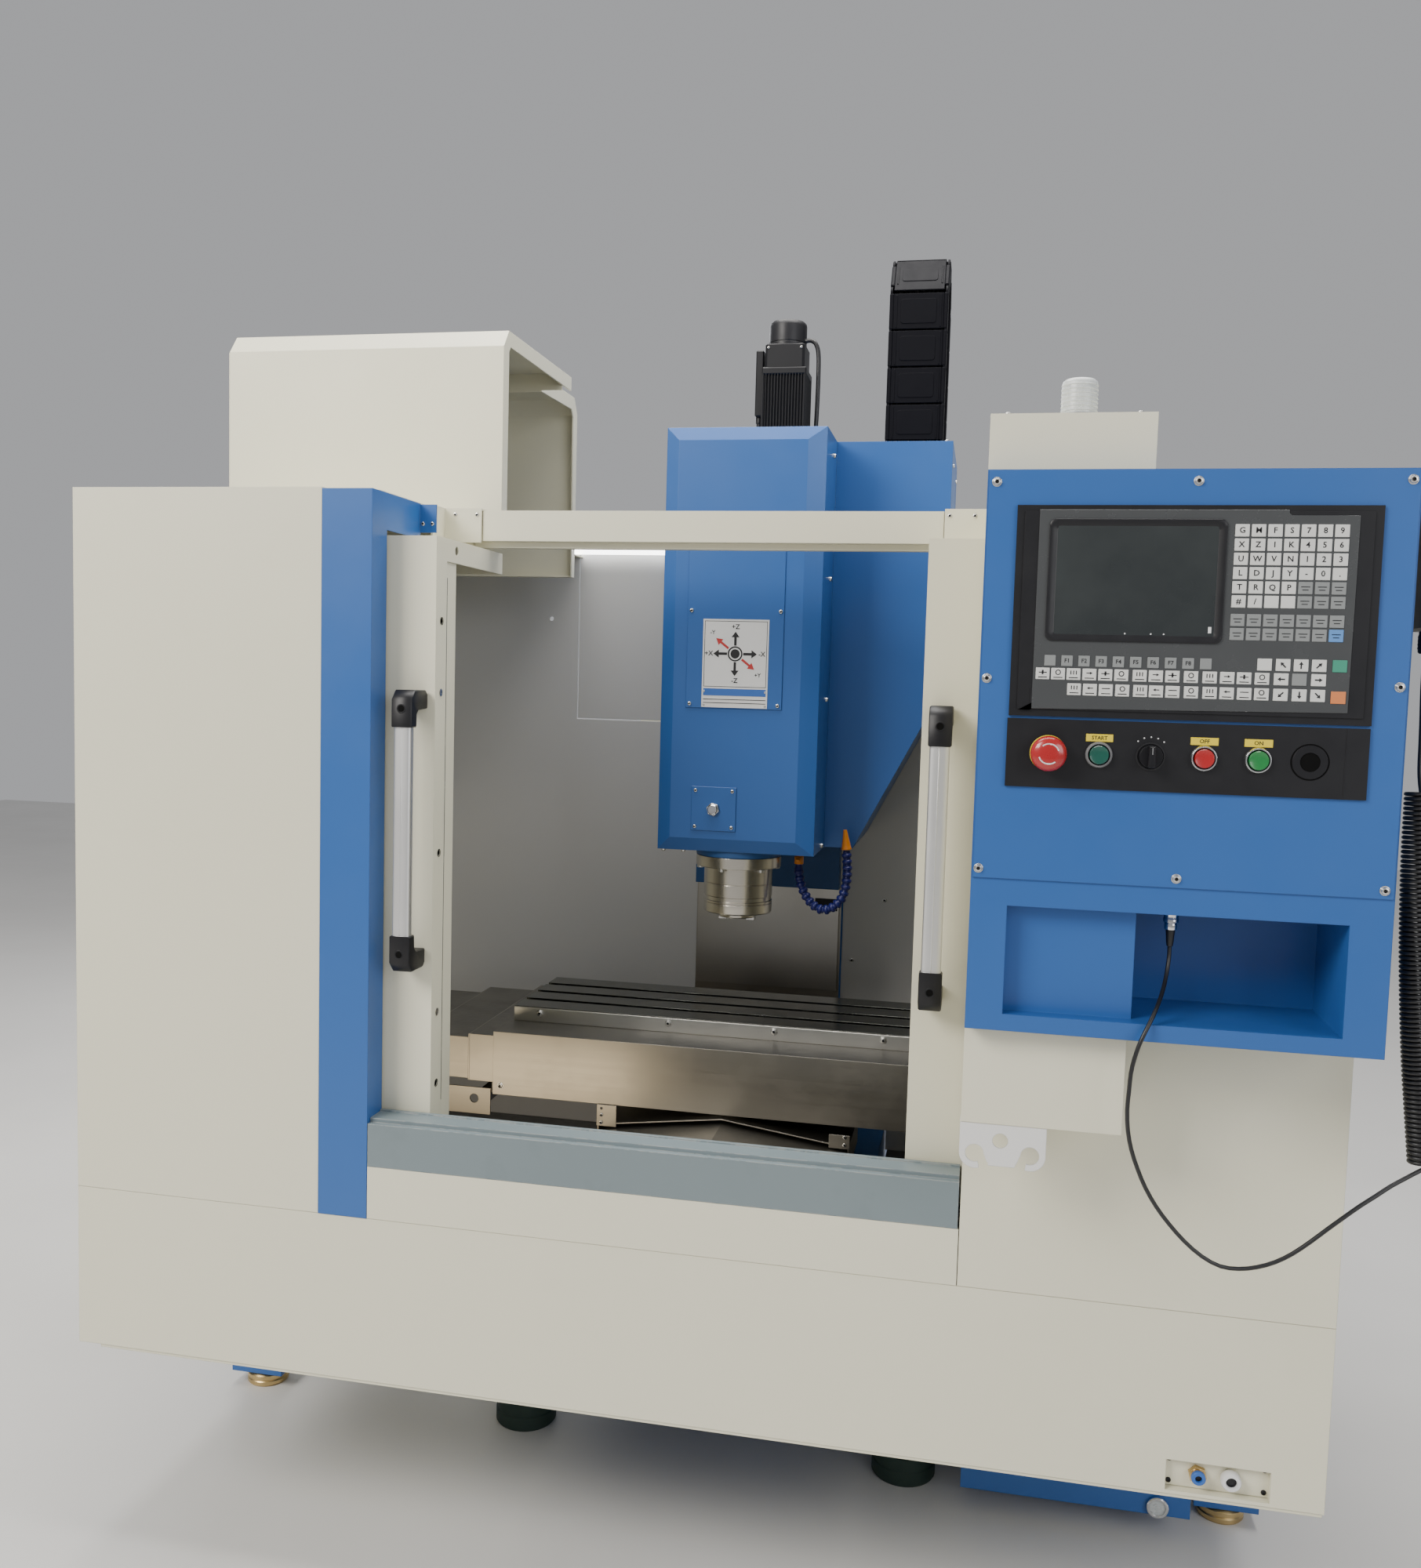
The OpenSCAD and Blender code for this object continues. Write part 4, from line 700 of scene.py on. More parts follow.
g.use("chrome").lathe([(0, 0), (2.6, 0), (2.6, 1.5), (0, 1.5)], (954.4, PY + 20, 1480), (1, 0, 0), 16)
g.use("black").lathe([(0, 0), (4.4, 0), (5, 1.5), (4.6, 4.6), (3.2, 5.4), (0, 5.5)], (954.9, PY + 20, 1480), (1, 0, 0), 24)
g.done("pendant_wheel")

# ------------------------------------------------------------------ door handles
def door_handle(side, body, node):
    s = -1 if side == "left" else 1
    g = G("handle_" + side, body, "aluminium", "alu", 45)
    cx_ = s * 369
    n = 28
    ring = [(math.copysign(abs(math.cos(2 * math.pi * k / n)) ** 0.55, math.cos(2 * math.pi * k / n)) * 13, math.copysign(abs(math.sin(2 * math.pi * k / n)) ** 0.55, math.sin(2 * math.pi * k / n)) * 8) for k in range(n)]
    vs = [(cx_ + u, 4 + w, z) for z in (955, 1280) for u, w in ring]
    fs = [[k, (k + 1) % n, n + (k + 1) % n, n + k] for k in range(n)] + [list(range(n)), [n + k for k in range(n)]]
    g.add(vs, fs)
    g.use("alu").box(cx_ - 0.7, cx_ + 0.7, -4.3, -3.8, 973, 1265, 0.2)
    g.use("black")
    up_ = [(-6, 1266), (-6, 1305), (6, 1318), (44, 1318), (50, 1312), (50, 1292), (20, 1290), (14, 1284), (13, 1266)]
    lo_ = [(-6, 972), (-6, 933), (6, 920), (44, 920), (50, 926), (50, 946), (20, 948), (14, 954), (13, 972)]
    for poly in (up_, lo_): g.prism(poly, "yz", cx_ - 15, cx_ + 15, 1.6)
    for z in (1292, 946):
        # dark hole colour: painted shade in the cap's recess
        g.use("hole").lathe([(4.6, 0), (4.6, -0.9)], (cx_, -6.1, z), (0, -1, 0), 20)
        g.use("black").lathe([(6.6, 0), (6.2, 0.5), (4.8, 0.5), (4.6, 0)], (cx_, -6.05, z), (0, -1, 0), 24)
        g.use("hole").lathe([(0, 0.1), (4.7, 0.1)], (cx_, -6.1, z), (0, -1, 0), 20)
    g.done(node)
door_handle("left", "left_door", "door_left_handle")
door_handle("right", "right_door", "door_right_handle")

# door edge bolts and window gaskets
for side, body in (("left", "left_door"), ("right", "right_door")):
    s = -1 if side == "left" else 1
    g = G("door_bolts_" + side, body, "black_plastic", "ink")
    # dark recess colour: painted shade inside the bolt holes
    for z in (743, 1083, 1417): g.use("hole").lathe([(0, -2.2), (4.4, -2.2), (4.6, -0.2), (5.2, 0.2), (5.8, 0)], (s * 342.6, 70, z), (-s, 0, 0), 20)
    g.use("ink").lathe([(0, 0.42), (2.8, 0.42), (3.4, 0.3), (3.6, 0)], (s * 342.5, 71, 692), (-s, 0, 0), 18)
    for z in (1315, 849): g.use("zinc").lathe([(0, 0.2), (2.2, 0.2), (2.4, 0.42), (4.6, 0.42), (5.6, 0)], (s * 342.5, 70, z), (-s, 0, 0), 20)
    for y in (150, 230): g.screw((s * 400, y, 1503.1), (0, 0, -1), 4, 2.2)
    for x in (s * 403, s * 718):
        for dx in (-20, 20):
            for y in (264.5, 290.5): g.screw((x + dx, y, 1548.4), (0, 0, 1), 1.6, 0.7)
    # dark film strip along the door's sheet lap line: painted shadow of the gap
    e0, e1 = sorted((s * 342.75, s * 344.6))
    g.use("film").box(e0, e1, 88.05, 89.6, 712, 1480, 0.2)
    g.use("rubber")
    x0, x1 = (-744, -421) if s < 0 else (421, 744)
    for z in (816, 1456): g.box(x0, x1, 58.8, 63, z, z + 8, 1.2)
    for x in (x0, x1 - 8): g.box(x, x + 8, 58.8, 63, 824, 1456, 1.2)
    for x in (x0 + 14, x1 - 14):
        for z in (830 + 8, 1450): g.screw((x, 63.0, min(z, 1449)), (0, 1, 0), 3.5, 2.0)
    g.done()

# ------------------------------------------------------------------ head
g = G("head_front_plates", "head", "blue_paint", "blue")
g.prism([(-85, 1296), (83, 1296), (83, 1632), (-85, 1632)], "xz", 527.0, 529.4, 0.5)
for x, z in ((-78, 1463), (77, 1463), (-78, 1303), (76, 1303), (-78, 1622), (76, 1622)): g.screw((x, 527.0, z), (0, -1, 0), 3.4, 2.2)
g.use("blue").prism([(-70, 1083), (9, 1083), (9, 1160), (-70, 1160)], "xz", 527.0, 529.4, 0.5)
for x, z in ((-63, 1090), (2, 1090), (2, 1153), (-63, 1153)): g.screw((x, 527.0, z), (0, -1, 0), 3.2, 2.0)
g.use("chrome").hexnut((-31, 527, 1121), (0, -1, 0), 12, 5)
g.lathe([(9, 5), (9, 7), (7.4, 8.6), (0, 8.8)], (-31, 527, 1121), (0, -1, 0), 28)
g.done()
g = G("axis_label", "head", "white_paint", "label")
g.prism([(-57, 1297.5), (58, 1297.5), (58, 1449), (-57, 1449)], "xz", 526.4, 527.05, 0.15)
for x0, x1, z0_, z1_ in ((-54, 55, 1445.2, 1446), (-54, 55, 1333.2, 1334), (-54, -53.2, 1334, 1445.2), (54.2, 55, 1334, 1445.2)): g.use("ink").box(x0, x1, 526.2, 526.42, z0_, z1_, 0.02)
g.use("ink_blue").box(-54, 55, 526.15, 526.45, 1318, 1330, 0.05)
g.use("ink").box(-54, 55, 526.2, 526.42, 1311, 1312.2, 0.02).box(-54, 55, 526.2, 526.42, 1305, 1306.2, 0.02)
def flat_arrow(g, x, z, ang, r0, r1, w, y):
    a = math.radians(ang); arrow(g, x + (r0 + r1) / 2 * math.cos(a), z + (r0 + r1) / 2 * math.sin(a), math.cos(a), math.sin(a), r1 - r0, w, y, 0.4)
LX, LZ = 0, 1390
g.use("ink").lathe([(0, 0.12), (8, 0.12)], (LX, 526.3, LZ), (0, -1, 0), 32)
g.lathe([(10.5, 0.12), (13, 0.12)], (LX, 526.3, LZ), (0, -1, 0), 32)
for a in (0, 90, 180, 270): flat_arrow(g, LX, LZ, a, 14, 38, 4.4, 526.2)
g.use("ink_red")
for a in (-38, 142): flat_arrow(g, LX, LZ, a, 15, 43, 4.0, 526.2)
g.use("ink").text([("+Z", LX, LZ + 46, 8.5), ("-Z", LX, LZ - 46, 8.5), ("+X", LX - 46, LZ, 8.5), ("-X", LX + 46.5, LZ, 8.5), ("-Y", LX - 40, LZ + 36, 7), ("+Y", LX + 40, LZ - 36, 7)], 526.2)
for x in (-53, 54):
    for z in (1301.5, 1325): g.use("zinc").lathe([(0, 1), (1.4, 0.9), (2, 0)], (x, 526.3, z), (0, -1, 0), 14)
g.done(normals=False)
g = G("head_side_screws", "head", "steel", "zinc")
for z in (1054, 1315, 1528, 1742): g.screw((145, 640, z), (1, 0, 0), 4.2, 4.0)
for x in (-122, -86): g.screw((x, 546, 1046), (0, 0, -1), 4.0, 4.0)
for y in (570, 660, 860):
    for z in (1070, 1400, 1740): g.screw((-131.5, y, z), (-1, 0, 0), 3.6, 2.4)
for y in (740, 930):
    for z in (1360, 1560, 1740): g.screw((349, y, z), (1, 0, 0), 3.6, 2.4)
g.screw((338, 692, 1775), (0, 0, 1), 3.8, 3.0)
for x in (-104, 8, 120):
    for y in (560, 860): g.screw((x, y, 1775), (0, 0, 1), 3.6, 2.4)
g.done()
g = G("cover_plate_blank", "head", "black_plastic", "bezel")
g.box(98, 144, 975.3, 976.1, 880, 905, 0.2)
for x in (101, 141): g.use("zinc").lathe([(0, 0.9), (1.2, 0.8), (1.8, 0)], (x, 975.4, 892.5), (0, -1, 0), 12)
g.done()

# turned cartridge, with its flange bolts and the rings of the nose
g = G("cartridge_turned", "head", "steel", "turned", 30)
g.lathe([(35.2, 931), (59.5, 931), (61.3, 932.6), (61.5, 934), (61.5, 947.6), (60.9, 948.2), (60.9, 949), (61.5, 949.6), (61.5, 953), (60.0, 954), (60.0, 960.5),
    (61.5, 961.5), (61.5, 983), (61.0, 983.6), (61.0, 984.6), (61.5, 985.2), (61.5, 1012.5), (63, 1014), (75.6, 1014), (76.5, 1014.9), (76.5, 1033.1), (75.6, 1034),
    (61.5, 1034.0), (61.5, 1398.5), (60.3, 1400), (35.2, 1400), (35.2, 931)], (0, 621, 0), seg=96)
for k in range(6):
    a = math.radians(60 * k + 15)
    at = (69 * math.cos(a), 621 + 69 * math.sin(a), 1014)
    g.use("zinc").lathe([(0, 0), (5.4, 0), (5.8, -0.6), (5.8, -5.0), (5.2, -5.6), (2.9, -5.6)], at, (0, 0, 1), 24)
    # black ink socket: painted shade in the recess
    g.use("ink").lathe([(2.9, -5.6), (2.8, -2.6), (0, -2.6)], at, (0, 0, 1), 6)
g.done("spindle_cartridge")
g = G("shaft_turned", "spindle", "steel", "turned", 30)
g.lathe([(15.9, 922), (17.4, 921.2), (33.4, 921.2), (34.9, 922.7), (34.9, 1395), (25, 1395), (25, 1705), (53.6, 1705), (55, 1706.4), (55, 1753.6), (53.6, 1755),
    (6, 1755), (6, 970), (8.8, 970), (15.9, 922)], (0, 621, 0), seg=80)
for s in (-1, 1):
    g.use("steel").box(s * 25 - 8, s * 25 + 8, 613, 629, 915.1, 922.5, 0.9)
    g.use("zinc").lathe([(3.2, 0.2), (3.2, -0.2), (1.7, -0.2), (1.7, -0.2)], (s * 25, 621, 915.2), (0, 0, 1), 20)
    # black ink disc: painted shade of the socket hole
    g.use("ink").lathe([(0, -0.25), (1.8, -0.25)], (s * 25, 621, 915.2), (0, 0, 1), 6)
g.done("spindle_shaft")
# drive belt
g = G("drive_belt", "head", "rubber", "belt")
pts = []
r1_, r2_, yA, yB = 56.2, 46.2, 621.0, 1014.0
al = math.asin((r1_ - r2_) / (yB - yA))
for k in range(25):
    a = -math.pi / 2 + al - (math.pi + 2 * al) * k / 24 if False else math.pi - (-math.pi / 2 - al) - (math.pi + 2 * al) * k / 24
    pts.append(None)
pts = []
for k in range(25):
    a = al + (math.pi) - (math.pi + 2 * al) * k / 24 + 0.0
    pts.append((r1_ * math.cos(a), yA - r1_ * math.sin(a)))
for k in range(25):
    a = -al + (math.pi - 2 * al) * 0 + (-math.pi + 2 * al) * k / 24
    pts.append((r2_ * math.cos(a), yB - r2_ * math.sin(a)))
n = len(pts); vs, fs = [], []
def off(i, k):
    p0, p1, p2 = Vector(pts[i - 1]), Vector(pts[i]), Vector(pts[(i + 1) % n])
    d = (p2 - p0).normalized(); return p1 + Vector((d.y, -d.x)) * k
for k, z in ((0, 1712), (3.4, 1712), (3.4, 1748), (0, 1748)):
    for i in range(n):
        p = off(i, -k); vs.append((p.x, p.y, z))
for L in range(4):
    for i in range(n):
        j = (i + 1) % n; fs.append([L * n + i, L * n + j, ((L + 1) % 4) * n + j, ((L + 1) % 4) * n + i])
g.add(vs, fs); g.done()

# finned motor
g = G("motor_finned", "head", "black_metal", "black_metal")
g.box(-40, 40, 974, 1054, 1811, 1968, 2)
g.box(-50, 50, 964, 1064, 1795.3, 1812, 2.2)
g.box(-45, 45, 969, 1059, 1960, 1975, 2.5)
g.box(-45, 45, 969, 1059, 1811, 1820, 2)
k = -42
while k <= 42:
    g.box(k - 1.0, k + 1.0, 969.2, 975, 1818, 1962, 0.5)
    g.box(k - 1.0, k + 1.0, 1053, 1058.8, 1818, 1962, 0.5)
    g.box(-44.8, -39, 1014 + k - 1.0, 1014 + k + 1.0, 1818, 1962, 0.5)
    g.box(39, 44.8, 1014 + k - 1.0, 1014 + k + 1.0, 1818, 1962, 0.5)
    k += 6
for x in (-43, 43):
    for y in (971, 1057):
        g.use("zinc").hexnut((x, y, 1812), (0, 0, 1), 5, 4.5); g.use("black_metal")
g.prism([(-40, 979), (-35, 974), (35, 974), (40, 979), (40, 1049), (35, 1054), (-35, 1054), (-40, 1049)], "xy", 1974, 2022, 2)
for x in (-33, 33): g.use("zinc").screw((x, 974.0, 2014), (0, -1, 0), 2.6, 1.8)
g.use("bezel").lathe([(38, 0), (38, 6), (37.2, 6.6), (37.2, 8.4), (38, 9), (38, 41), (37, 46), (33.5, 49.9), (0, 50.6)], (0, 1014, 2021), seg=64)
for k in range(4):
    a = math.radians(45 + 90 * k); g.use("zinc").lathe([(0, 1.6), (1.8, 1.4), (2.4, 0)], (27 * math.cos(a), 1014 + 27 * math.sin(a), 2071.2 - 0.8), (0, 0, 1), 14)
g.use("black_metal").box(-60, -44, 985, 1040, 1880, 2012, 2.5)
g.use("zinc")
for z in (1888, 2004): g.screw((-60, 1030, z), (-1, 0, 0), 2.2, 1.4)
g.use("black").lathe([(0, 0), (7.6, 0), (7.6, 12), (6, 14), (6, 20), (0, 20)], (-52, 1000, 1881), (0, 0, -1), 24)
g.lathe([(0, 0), (6, 0), (6, 9), (4.6, 10), (4.6, 16), (0, 16)], (-52, 1024, 1881), (0, 0, -1), 20)
# leads, fixed at both ends
g.use("cordm").tube(smooth_path([(37, 1004, 2032), (48, 1003, 2033), (58, 1003, 2026), (64, 1004, 2006), (65, 1006, 1960), (64, 1009, 1900), (62, 1012, 1840), (61, 1015, 1796)], 6), 4.5, 12)
g.tube(smooth_path([(-52, 1000, 1864), (-53, 1001, 1845), (-58, 1004, 1822), (-62, 1008, 1796)], 6), 4.2, 12)
g.tube(smooth_path([(-52, 1024, 1867), (-52, 1025, 1848), (-56, 1028, 1822), (-58, 1030, 1796)], 6), 3.2, 12)
g.use("bezel").lathe([(0, 0), (8, 0), (8, 7), (6, 9), (0, 9)], (61, 1015, 1795.2), (0, 0, 1), 24)
g.use("steel").lathe([(14, 0), (14, 40)], (0, 1014, 1757), seg=32)
g.use("steel").lathe([(14, 0), (45, 0), (45, 1), (43.5, 3), (43.5, 47), (45, 49), (45, 50), (14, 50), (14, 0)], (0, 1014, 1705), seg=56)
g.done("spindle_motor")

# jointed coolant line
hose = [(106, 645, 1046), (106, 645, 1020), (107, 644, 1000), (112, 642, 980), (122, 641, 960), (136, 640, 945), (153, 640, 938),
        (171, 640, 944), (184, 640, 958), (191, 640, 976), (194, 640, 998), (194, 640, 1020), (192, 640, 1040), (191, 640, 1056)]
hp = smooth_path(hose, 8)
g = G("coolant_line", "head", "black_plastic", "navy", 50)
dist, nxt, beads = 0.0, 44.0, []
for a, b in zip(hp, hp[1:]):
    L = (b - a).length
    while dist + L >= nxt:
        t = (nxt - dist) / L; beads.append((a.lerp(b, t), (b - a).normalized())); nxt += 11.5
    dist += L
for c, d in beads[:-1]:
    g.use("navy").lathe([(5.5, -6), (7.2, -5.4), (8.6, -3.4), (9.0, -1), (8.4, 1.2), (6.6, 2.2), (6.2, 5.6), (5.5, 6)], tuple(c), tuple(d), 20)
g.use("zinc").hexnut((106, 645, 1036), (0, 0, 1), 11, 9.8)
g.use("orange").lathe([(0, 0), (7.5, 0), (8.5, 1), (8.5, 16), (7.5, 17.5), (0, 18)], (106, 645, 1018), (0, 0, 1), 24)
g.box(100, 112, 633, 640, 1022, 1032, 1.2).box(102.5, 109.5, 626, 634, 1025, 1029, 1)
g.use("navy").lathe([(0, 0), (7, 0), (8, 1.5), (8, 6), (6.4, 8), (6.4, 14)], (106, 645, 1004), (0, 0, 1), 24)
d = Vector((-math.sin(math.radians(6)), 0, math.cos(math.radians(6))))
g.use("orange").lathe([(5.5, 0), (9, 0), (9, 3), (8.2, 5), (7.8, 9), (5, 24), (3.4, 35.5), (2.4, 35.8), (2.2, 33)], (191.5, 640, 1049), tuple(d), 24)
g.done("coolant_hose")

# cable chain of rigid links, hinged on the loop
g = G("chain_links", "chain", "black_plastic", "chain", 30)
def chain_path(R):
    pts = [(1158 - R, z) for z in range(1622, 2136, 2)]
    pts += [(1158 - R * math.cos(math.radians(a)), 2136 + R * math.sin(math.radians(a))) for a in range(0, 181, 1)]
    return pts + [(1158 + R, z) for z in range(2134, 1559, -2)]
path = chain_path(75)
pitch = 73.0
pivots = [path[0]]
for y, z in path[1:]:
    if math.hypot(y - pivots[-1][0], z - pivots[-1][1]) >= pitch: pivots.append((y, z))
def rrect(x0, x1, y0, y1, r, n=4):
    out = []
    for cx_, cy_, a0 in ((x1 - r, y1 - r, 0), (x0 + r, y1 - r, 90), (x0 + r, y0 + r, 180), (x1 - r, y0 + r, 270)):
        out += [(cx_ + r * math.cos(math.radians(a0 + 90 * k / n)), cy_ + r * math.sin(math.radians(a0 + 90 * k / n))) for k in range(n + 1)]
    return out
for (ya, za_), (yb, zb_) in zip(pivots, pivots[1:]):
    L = math.hypot(yb - ya, zb_ - za_)
    d = Vector((0, (yb - ya) / L, (zb_ - za_) / L)); nrm = Vector((1, 0, 0)).cross(d)
    y, z = (ya + yb) / 2, (za_ + zb_) / 2
    # local axes: x across, y along the chain, z thickness
    g.xf = Matrix(((1, d.x, nrm.x, 0), (0, d.y, nrm.y, y), (0, d.z, nrm.z, z), (0, 0, 0, 1)))
    bend = z > 2116; h = 28.0 if bend else 35.4
    for xs in (198.2, 307): g.use("chain").box(xs, xs + 8.8, -h - 0.6, h + 0.6, -18, 18, 2)
    for xs in (206, 303): g.box(xs, xs + 5, -h - 9, -h + 8, -13, 13, 2.5)
    for zz in (-17.8, 14.6):
        hh = 42.0 if bend and zz > 0 else h
        g.box(206.5, 307.5, -hh, hh, zz, zz + 3.0, 1.0)
    for zz in (-18.6, 17.4):
        g.prism(rrect(221, 293, -h + 11, h - 11, 6), "xy", zz, zz + 1.2, 0.4)
        for xs in (211, 300): g.box(xs, xs + 3.4, -h + 3, h - 3, zz, zz + 1.2, 0.4)
    g.box(255.5, 258.5, -h + 6, h - 6, -14.8, 14.8, 0.8)
    for xs, sg in ((198.4, -1), (315.6, 1)):
        for yy in (-h + 6, h - 6): g.lathe([(0, 1.0), (6.2, 1.0), (7, 0)], (xs - sg * 0.9, yy, 0), (sg, 0, 0), 20)
    g.xf = None
for y, z in pivots[1:-1]:
    for xs, sg in ((203.5, -1), (310.5, 1)): g.lathe([(0, 4.6), (16, 4.6), (17, 3.6), (17, 0), (0, 0)], (xs, y, z), (sg, 0, 0), 28)
g.use("chain").box(206, 308, 1069, 1097, 1620.5, 1634, 2).box(203, 311, 1217, 1249, 1560.5, pivots[-1][1] - 1.5, 2)
for i, (x, r) in enumerate(((218, 6), (238, 7.5), (275, 8.0), (294, 6.5))):
    g.use("cordm").tube([(x, y, z) for y, z in chain_path(71)[::4]], r, 10)
g.done("cable_chain")

# ------------------------------------------------------------------ lamps
g = G("lamp_tube", "machine", "lamp", "lit", 45)
g.lathe([(0, 0), (10.5, 0), (10.5, 246), (0, 246)], (-433, 984, 1610.6), (1, 0, 0), 28)
for x in (-440, -187): g.use("whitep").lathe([(0, 0), (12, 0), (13, 1), (13, 6), (12, 7), (0, 7)], (x, 984, 1610.6), (1, 0, 0), 28)
g.use("alu").box(-436, -184, 989, 999.8, 1604.7, 1616.5, 1)
g.done("work_lamp")
g = G("beacon_dome", "machine", "cream_lamp", "whitep", 40)
g.use("grey_cap").lathe([(0, 0), (25, 0), (25, 6), (23, 8), (0, 8)], (519, -60, 1662.2), seg=48)
g.use("frosted").lathe([(21, 8), (21, 44), (20, 47), (17, 49.5), (0, 50)], (519, -60, 1662.2), seg=48)
for k in range(7): g.lathe([(21, 0), (21.6, 0.6), (21.6, 1.8), (21, 2.4)], (519, -60, 1673 + 5 * k), seg=48)
g.done("beacon_lamp")

# ------------------------------------------------------------------ small hardware on the frame
g = G("frame_screws", "machine", "steel", "zinc")
for x in (436, 585):
    for y in (-112, -10): g.screw((x, y, 1662), (0, 0, 1), 4, 2.6)
for x, z in ((-412, 1565), (-397, 1565)): g.screw((x, 158.6, z), (0, -1, 0), 3.2, 2.0)
for x in (362, 398):
    for s in (-1, 1): g.screw((s * x, 249, 1590), (0, -1, 0), 3.2, 1.8)
for s in (-1, 1):
    for y in (216, 238): g.screw((s * 419, y, 1573), (s, 0, 0), 3.2, 1.8)
g.screw((237.7, 1000, 905), (0, -1, 0), 5, 3); g.screw((155 + 20, 1000, 777), (0, -1, 0), 4.2, 2.6)
for x in (-880, 880):
    for z in (700, 1050, 1400): g.screw((x * 0.995, 1006, z), (0, 1, 0), 4, 2.4)
for s in (-1, 1):
    for z in (640, 900, 1160, 1420):
        for x in (210, 520, 840): g.screw((s * x, 1003, z), (0, 1, 0), 4, 2.4)
g.done()

g = G("air_plate", "machine", "white_paint", "beige")
g.box(692, 821, 11.2, 14.2, 320, 362.5, 0.7)
for x, z in ((698, 356.5), (698, 327), (814.5, 356.5), (814.5, 327)): g.screw((x, 11.2, z), (0, -1, 0), 3.4, 2.2, mat="bezel")
g.use("brass").hexnut((733, 11.2, 341), (0, -1, 0), 12, 7)
g.lathe([(0, 7), (9, 7), (9, 10), (0, 10)], (733, 11.2, 341), (0, -1, 0), 28)
g.use("ink_blue").lathe([(4, 9), (8.4, 9), (9, 10), (9, 14), (8, 15.4), (4.4, 15.4), (4.2, 12)], (733, 11.2, 341), (0, -1, 0), 32)
# black ink disc: painted shade in the fitting's bore
g.use("ink").lathe([(0, 11), (4.3, 11)], (733, 11.2, 341), (0, -1, 0), 20)
g.use("zinc").hexnut((773, 11.2, 341), (0, -1, 0), 12, 3)
g.use("whitep").lathe([(6.0, 3), (12, 3), (12.6, 4), (12.6, 12), (11, 14.6), (7.2, 15), (6.4, 12)], (773, 11.2, 341), (0, -1, 0), 32)
# black ink disc: painted shade in the fitting's bore
g.use("ink").lathe([(0, 10), (6.6, 10)], (773, 11.2, 341), (0, -1, 0), 20)
g.done()

g = G("feet_nuts", "machine", "steel", "zinc")
for s in (-1, 1):
    for y in (504, 960): g.hexnut((s * 857, y, 37.1), (0, 0, 1), 13.5, 7.6)
    for y in (497, 1290):
        g.lathe([(8.2, 0), (16, 0), (16, 2), (8.2, 2)], (s * 340, y, 160), (0, 0, 1), 28)
        g.hexnut((s * 340, y, 162), (0, 0, 1), 13.5, 10)
        g.hexnut((s * 340, y, 79), (0, 0, 1), 13.5, 10)
g.done()
g = G("tank_sight_glass", "machine", "chrome", "chrome")
g.lathe([(12, 0), (17, 0), (17, 2.5), (15.5, 4), (12.5, 4), (12, 2)], (744, 396.2, 57), (0, -1, 0), 36)
g.use("frosted").lathe([(0, 2.6), (8, 2.4), (12.2, 1.6)], (744, 396.2, 57), (0, -1, 0), 36)
g.done()

# table strip screws, way-cover screws, wiper lips and their screws
g = G("table_screws", "table", "steel", "zinc")
g.use("strip").box(-376.2, 423.2, 496.7, 497.6, 730.6, 754.6, 0.3).use("zinc")
for x in (-328.5, -94.2, 92.4, 279, 400): g.disc((x, 496.7, 746), (0, -1, 0), 6.2, 0.8, 0.2, 24).screw((x, 496.0, 746), (0, -1, 0), 4.6, 2.6)
for x in (-369, 416): g.disc((x, 412, 636), (0, -1, 0), 6.0, 0.7, 0.2, 24).screw((x, 411.4, 636), (0, -1, 0), 4.4, 2.4)
g.use("rubber")
for x in (-383.5, 429.3): g.box(x, x + 1.4, 416, 497, 719.5, 728.5, 0.3)
g.done()
for nm, body, x, y0, y1, zt in (("wiper_l1", "x_cover_l1", -434, 426, 816, 719), ("wiper_l2", "x_cover_l2", -539, 436, 806, 710),
                               ("wiper_r1", "x_cover_r1", 478, 426, 816, 719), ("wiper_r2", "x_cover_r2", 583, 436, 806, 710)):
    g = G(nm, body, "stainless", "stainless")
    g.box(x, x + 3, y0 - 1.5, y1 + 1.5, zt - 10, zt + 0.4, 0.5)
    g.box(x, x + 3, y0 - 1.6, y0 + 6, 637, zt, 0.5).box(x, x + 3, y1 - 6, y1 + 1.6, 637, zt, 0.5)
    g.done()
g = G("saddle_screws", "saddle", "steel", "zinc")
for x in (-186, 228):
    for z in (590, 603): g.screw((x, 408, z), (0, -1, 0), 3.4, 2.0)
for x in (-632, 680 - 0):
    for z in (590, 680): g.screw((x, 445 if z > 630 else 434, z), (0, -1, 0), 3.6, 2.2)
g.done()

# rear cabinet: louvres, lock and cable glands
g = G("cabinet_fittings", "machine", "beige_paint", "beige")
for k in range(9):
    for s in (-1, 1):
        g.use("beige").prism([(1510, 1480 - 24 * k), (1640, 1480 - 24 * k), (1640, 1490 - 24 * k), (1510, 1490 - 24 * k)], "yz", s * 400 if s > 0 else -404.5, 404.5 if s > 0 else -400, 1.5)
        # dark ink strips under the louvre blades: painted shade in the slots
        g.use("ink").box(s * 402.2 - 2.6, s * 402.2 + 2.6, 1512, 1638, 1478.2 - 24 * k, 1480.6 - 24 * k, 0.2)
for x in (-250, -190, -130, 130, 190, 250):
    g.use("black").lathe([(0, 0), (14, 0), (14, 3), (11, 4), (11, 14), (8, 18), (0, 18)], (x, 1560, 520.1), (0, 0, -1), 24)
g.done()
g = G("cabinet_lock", "cabinet_door", "black_plastic", "black")
g.use("black").lathe([(0, 0), (21, 0), (21, 5), (19, 7), (0, 7)], (340, 1703.4, 1100), (0, 1, 0), 36)
g.box(332, 348, 1709, 1727, 1080, 1122, 3)
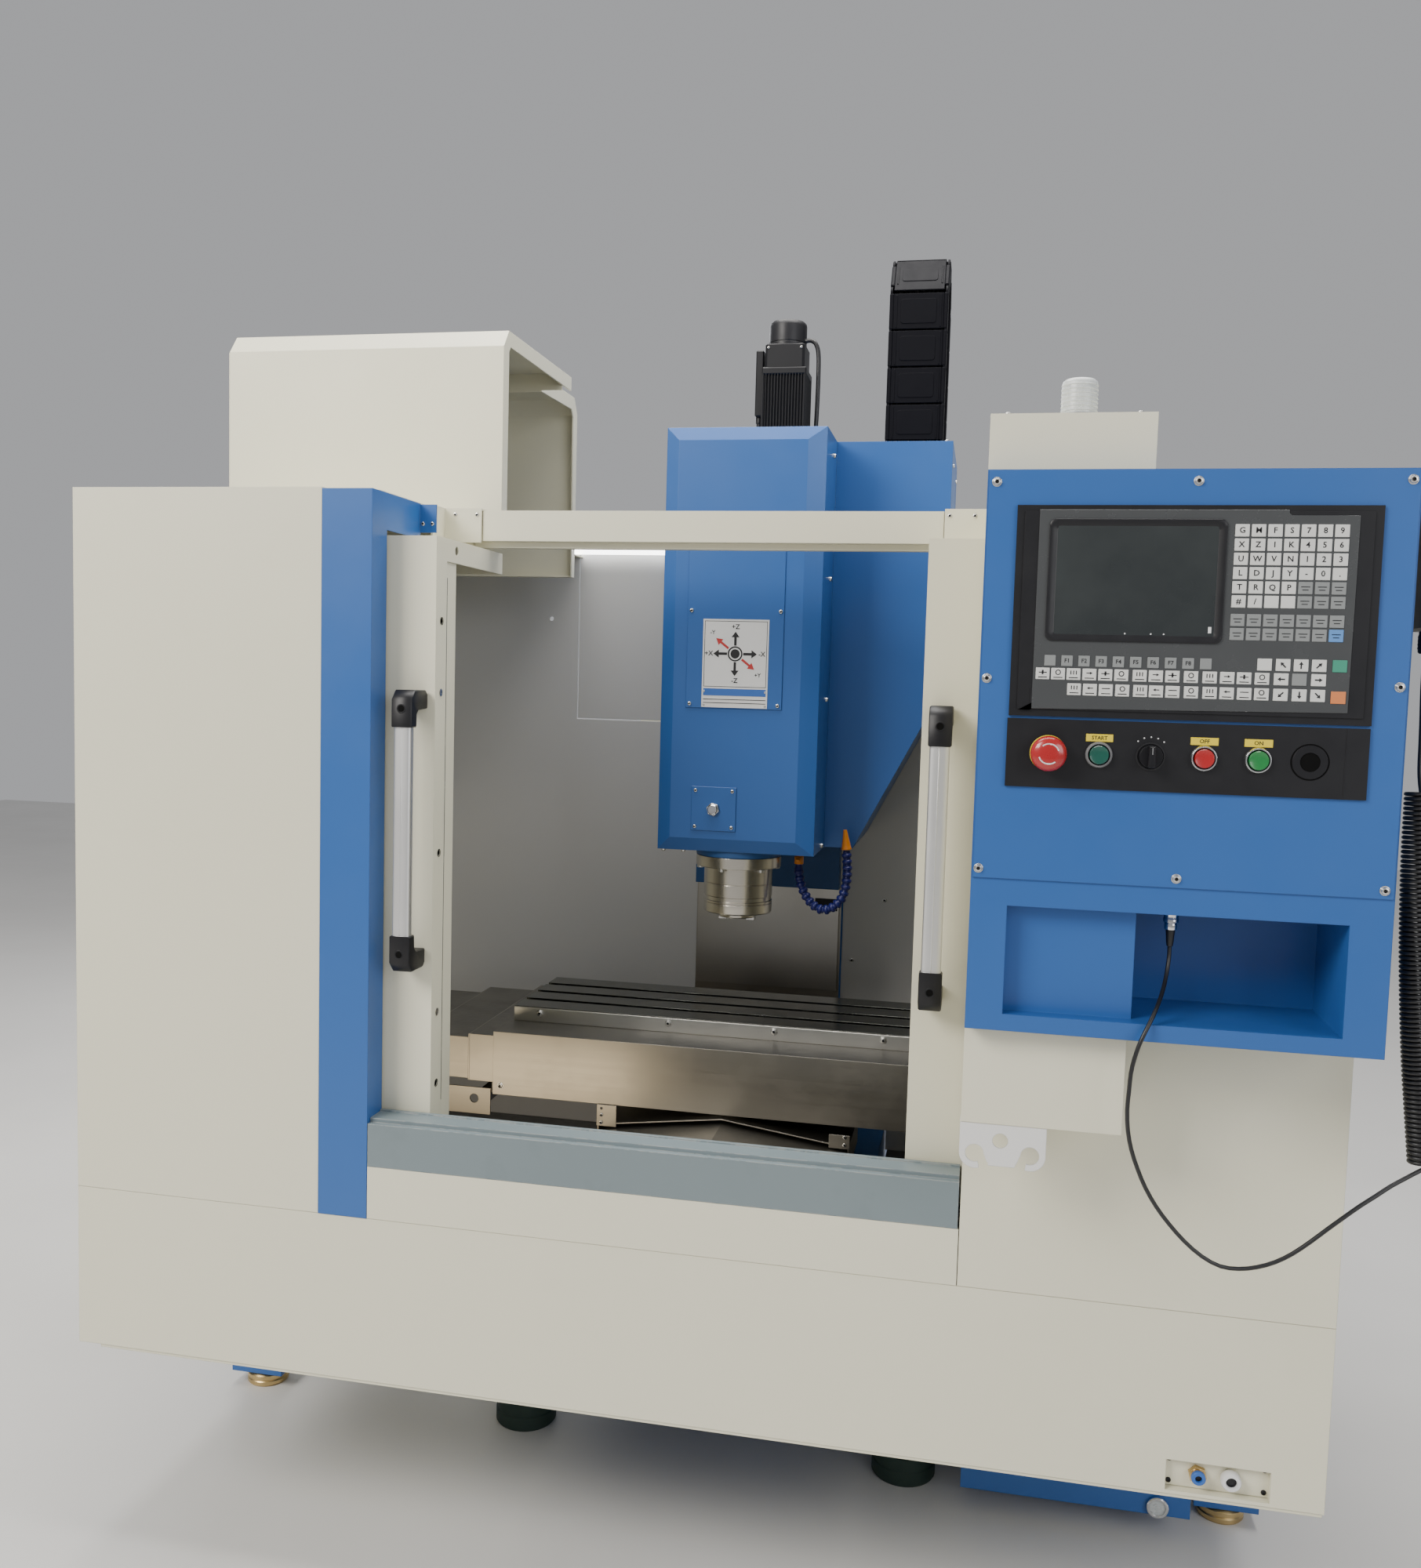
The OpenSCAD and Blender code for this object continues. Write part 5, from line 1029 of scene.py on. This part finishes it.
g.use("chrome").lathe([(0, 0), (7, 0), (7, 1.6), (5, 2), (0, 2)], (340, 1726.4, 1100), (0, 1, 0), 24)
g.done()

# ------------------------------------------------------------------ floor, light
fm, nt, b = new_mat("pale_floor")
v = coords(nt)
nt.links.new(mixc(nt, remap(nt, noise(nt, v, 0.8, 5, 0.6), 0.3, 0.7, 0, 1), (0.62, 0.61, 0.59), (0.68, 0.67, 0.65)), b.inputs["Base Color"])
nt.links.new(remap(nt, noise(nt, v, 3, 5, 0.6), 0.3, 0.7, 0.45, 0.6), b.inputs["Roughness"])
me = bpy.data.meshes.new("floor")
S = 9.0
me.from_pydata([(-S, -S, 0), (S, -S, 0), (S, S, 0), (-S, S, 0)], [], [[0, 1, 2, 3]])
me.materials.append(fm)
fl = bpy.data.objects.new("floor", me); scene.collection.objects.link(fl)

world = bpy.data.worlds.new("studio"); scene.world = world; world.use_nodes = True
bg = world.node_tree.nodes["Background"]
bg.inputs["Color"].default_value = (0.96, 0.97, 1.0, 1); bg.inputs["Strength"].default_value = 0.42

def area(name, at, target, size, power, color=(1, 1, 1)):
    L = bpy.data.lights.new(name, "AREA"); L.shape = "RECTANGLE"; L.size, L.size_y = size; L.energy = power; L.color = color
    o = bpy.data.objects.new(name, L); scene.collection.objects.link(o)
    o.location = at
    o.rotation_euler = (Vector(target) - Vector(at)).to_track_quat("-Z", "Y").to_euler()
    return o
area("key", (-2.6, -3.6, 3.6), (0, 0, 1.0), (2.2, 1.8), 215, (1.0, 0.965, 0.91))
area("fill", (3.2, -3.4, 2.4), (0, -0.2, 1.0), (2.2, 2.2), 62, (0.97, 0.98, 1.0))
area("top", (0.0, -0.1, 4.0), (0, 0.05, 0.9), (3.0, 2.2), 210, (1.0, 0.98, 0.95))
area("bounce", (-0.485, -0.706, 0.562), (-0.485, -0.30, 0.562), (0.50, 0.15), 0.60, (1.0, 0.84, 0.60))
area("back", (-1.5, 3.8, 3.0), (0, 0.6, 1.2), (2.6, 2.0), 60, (0.95, 0.97, 1.0))
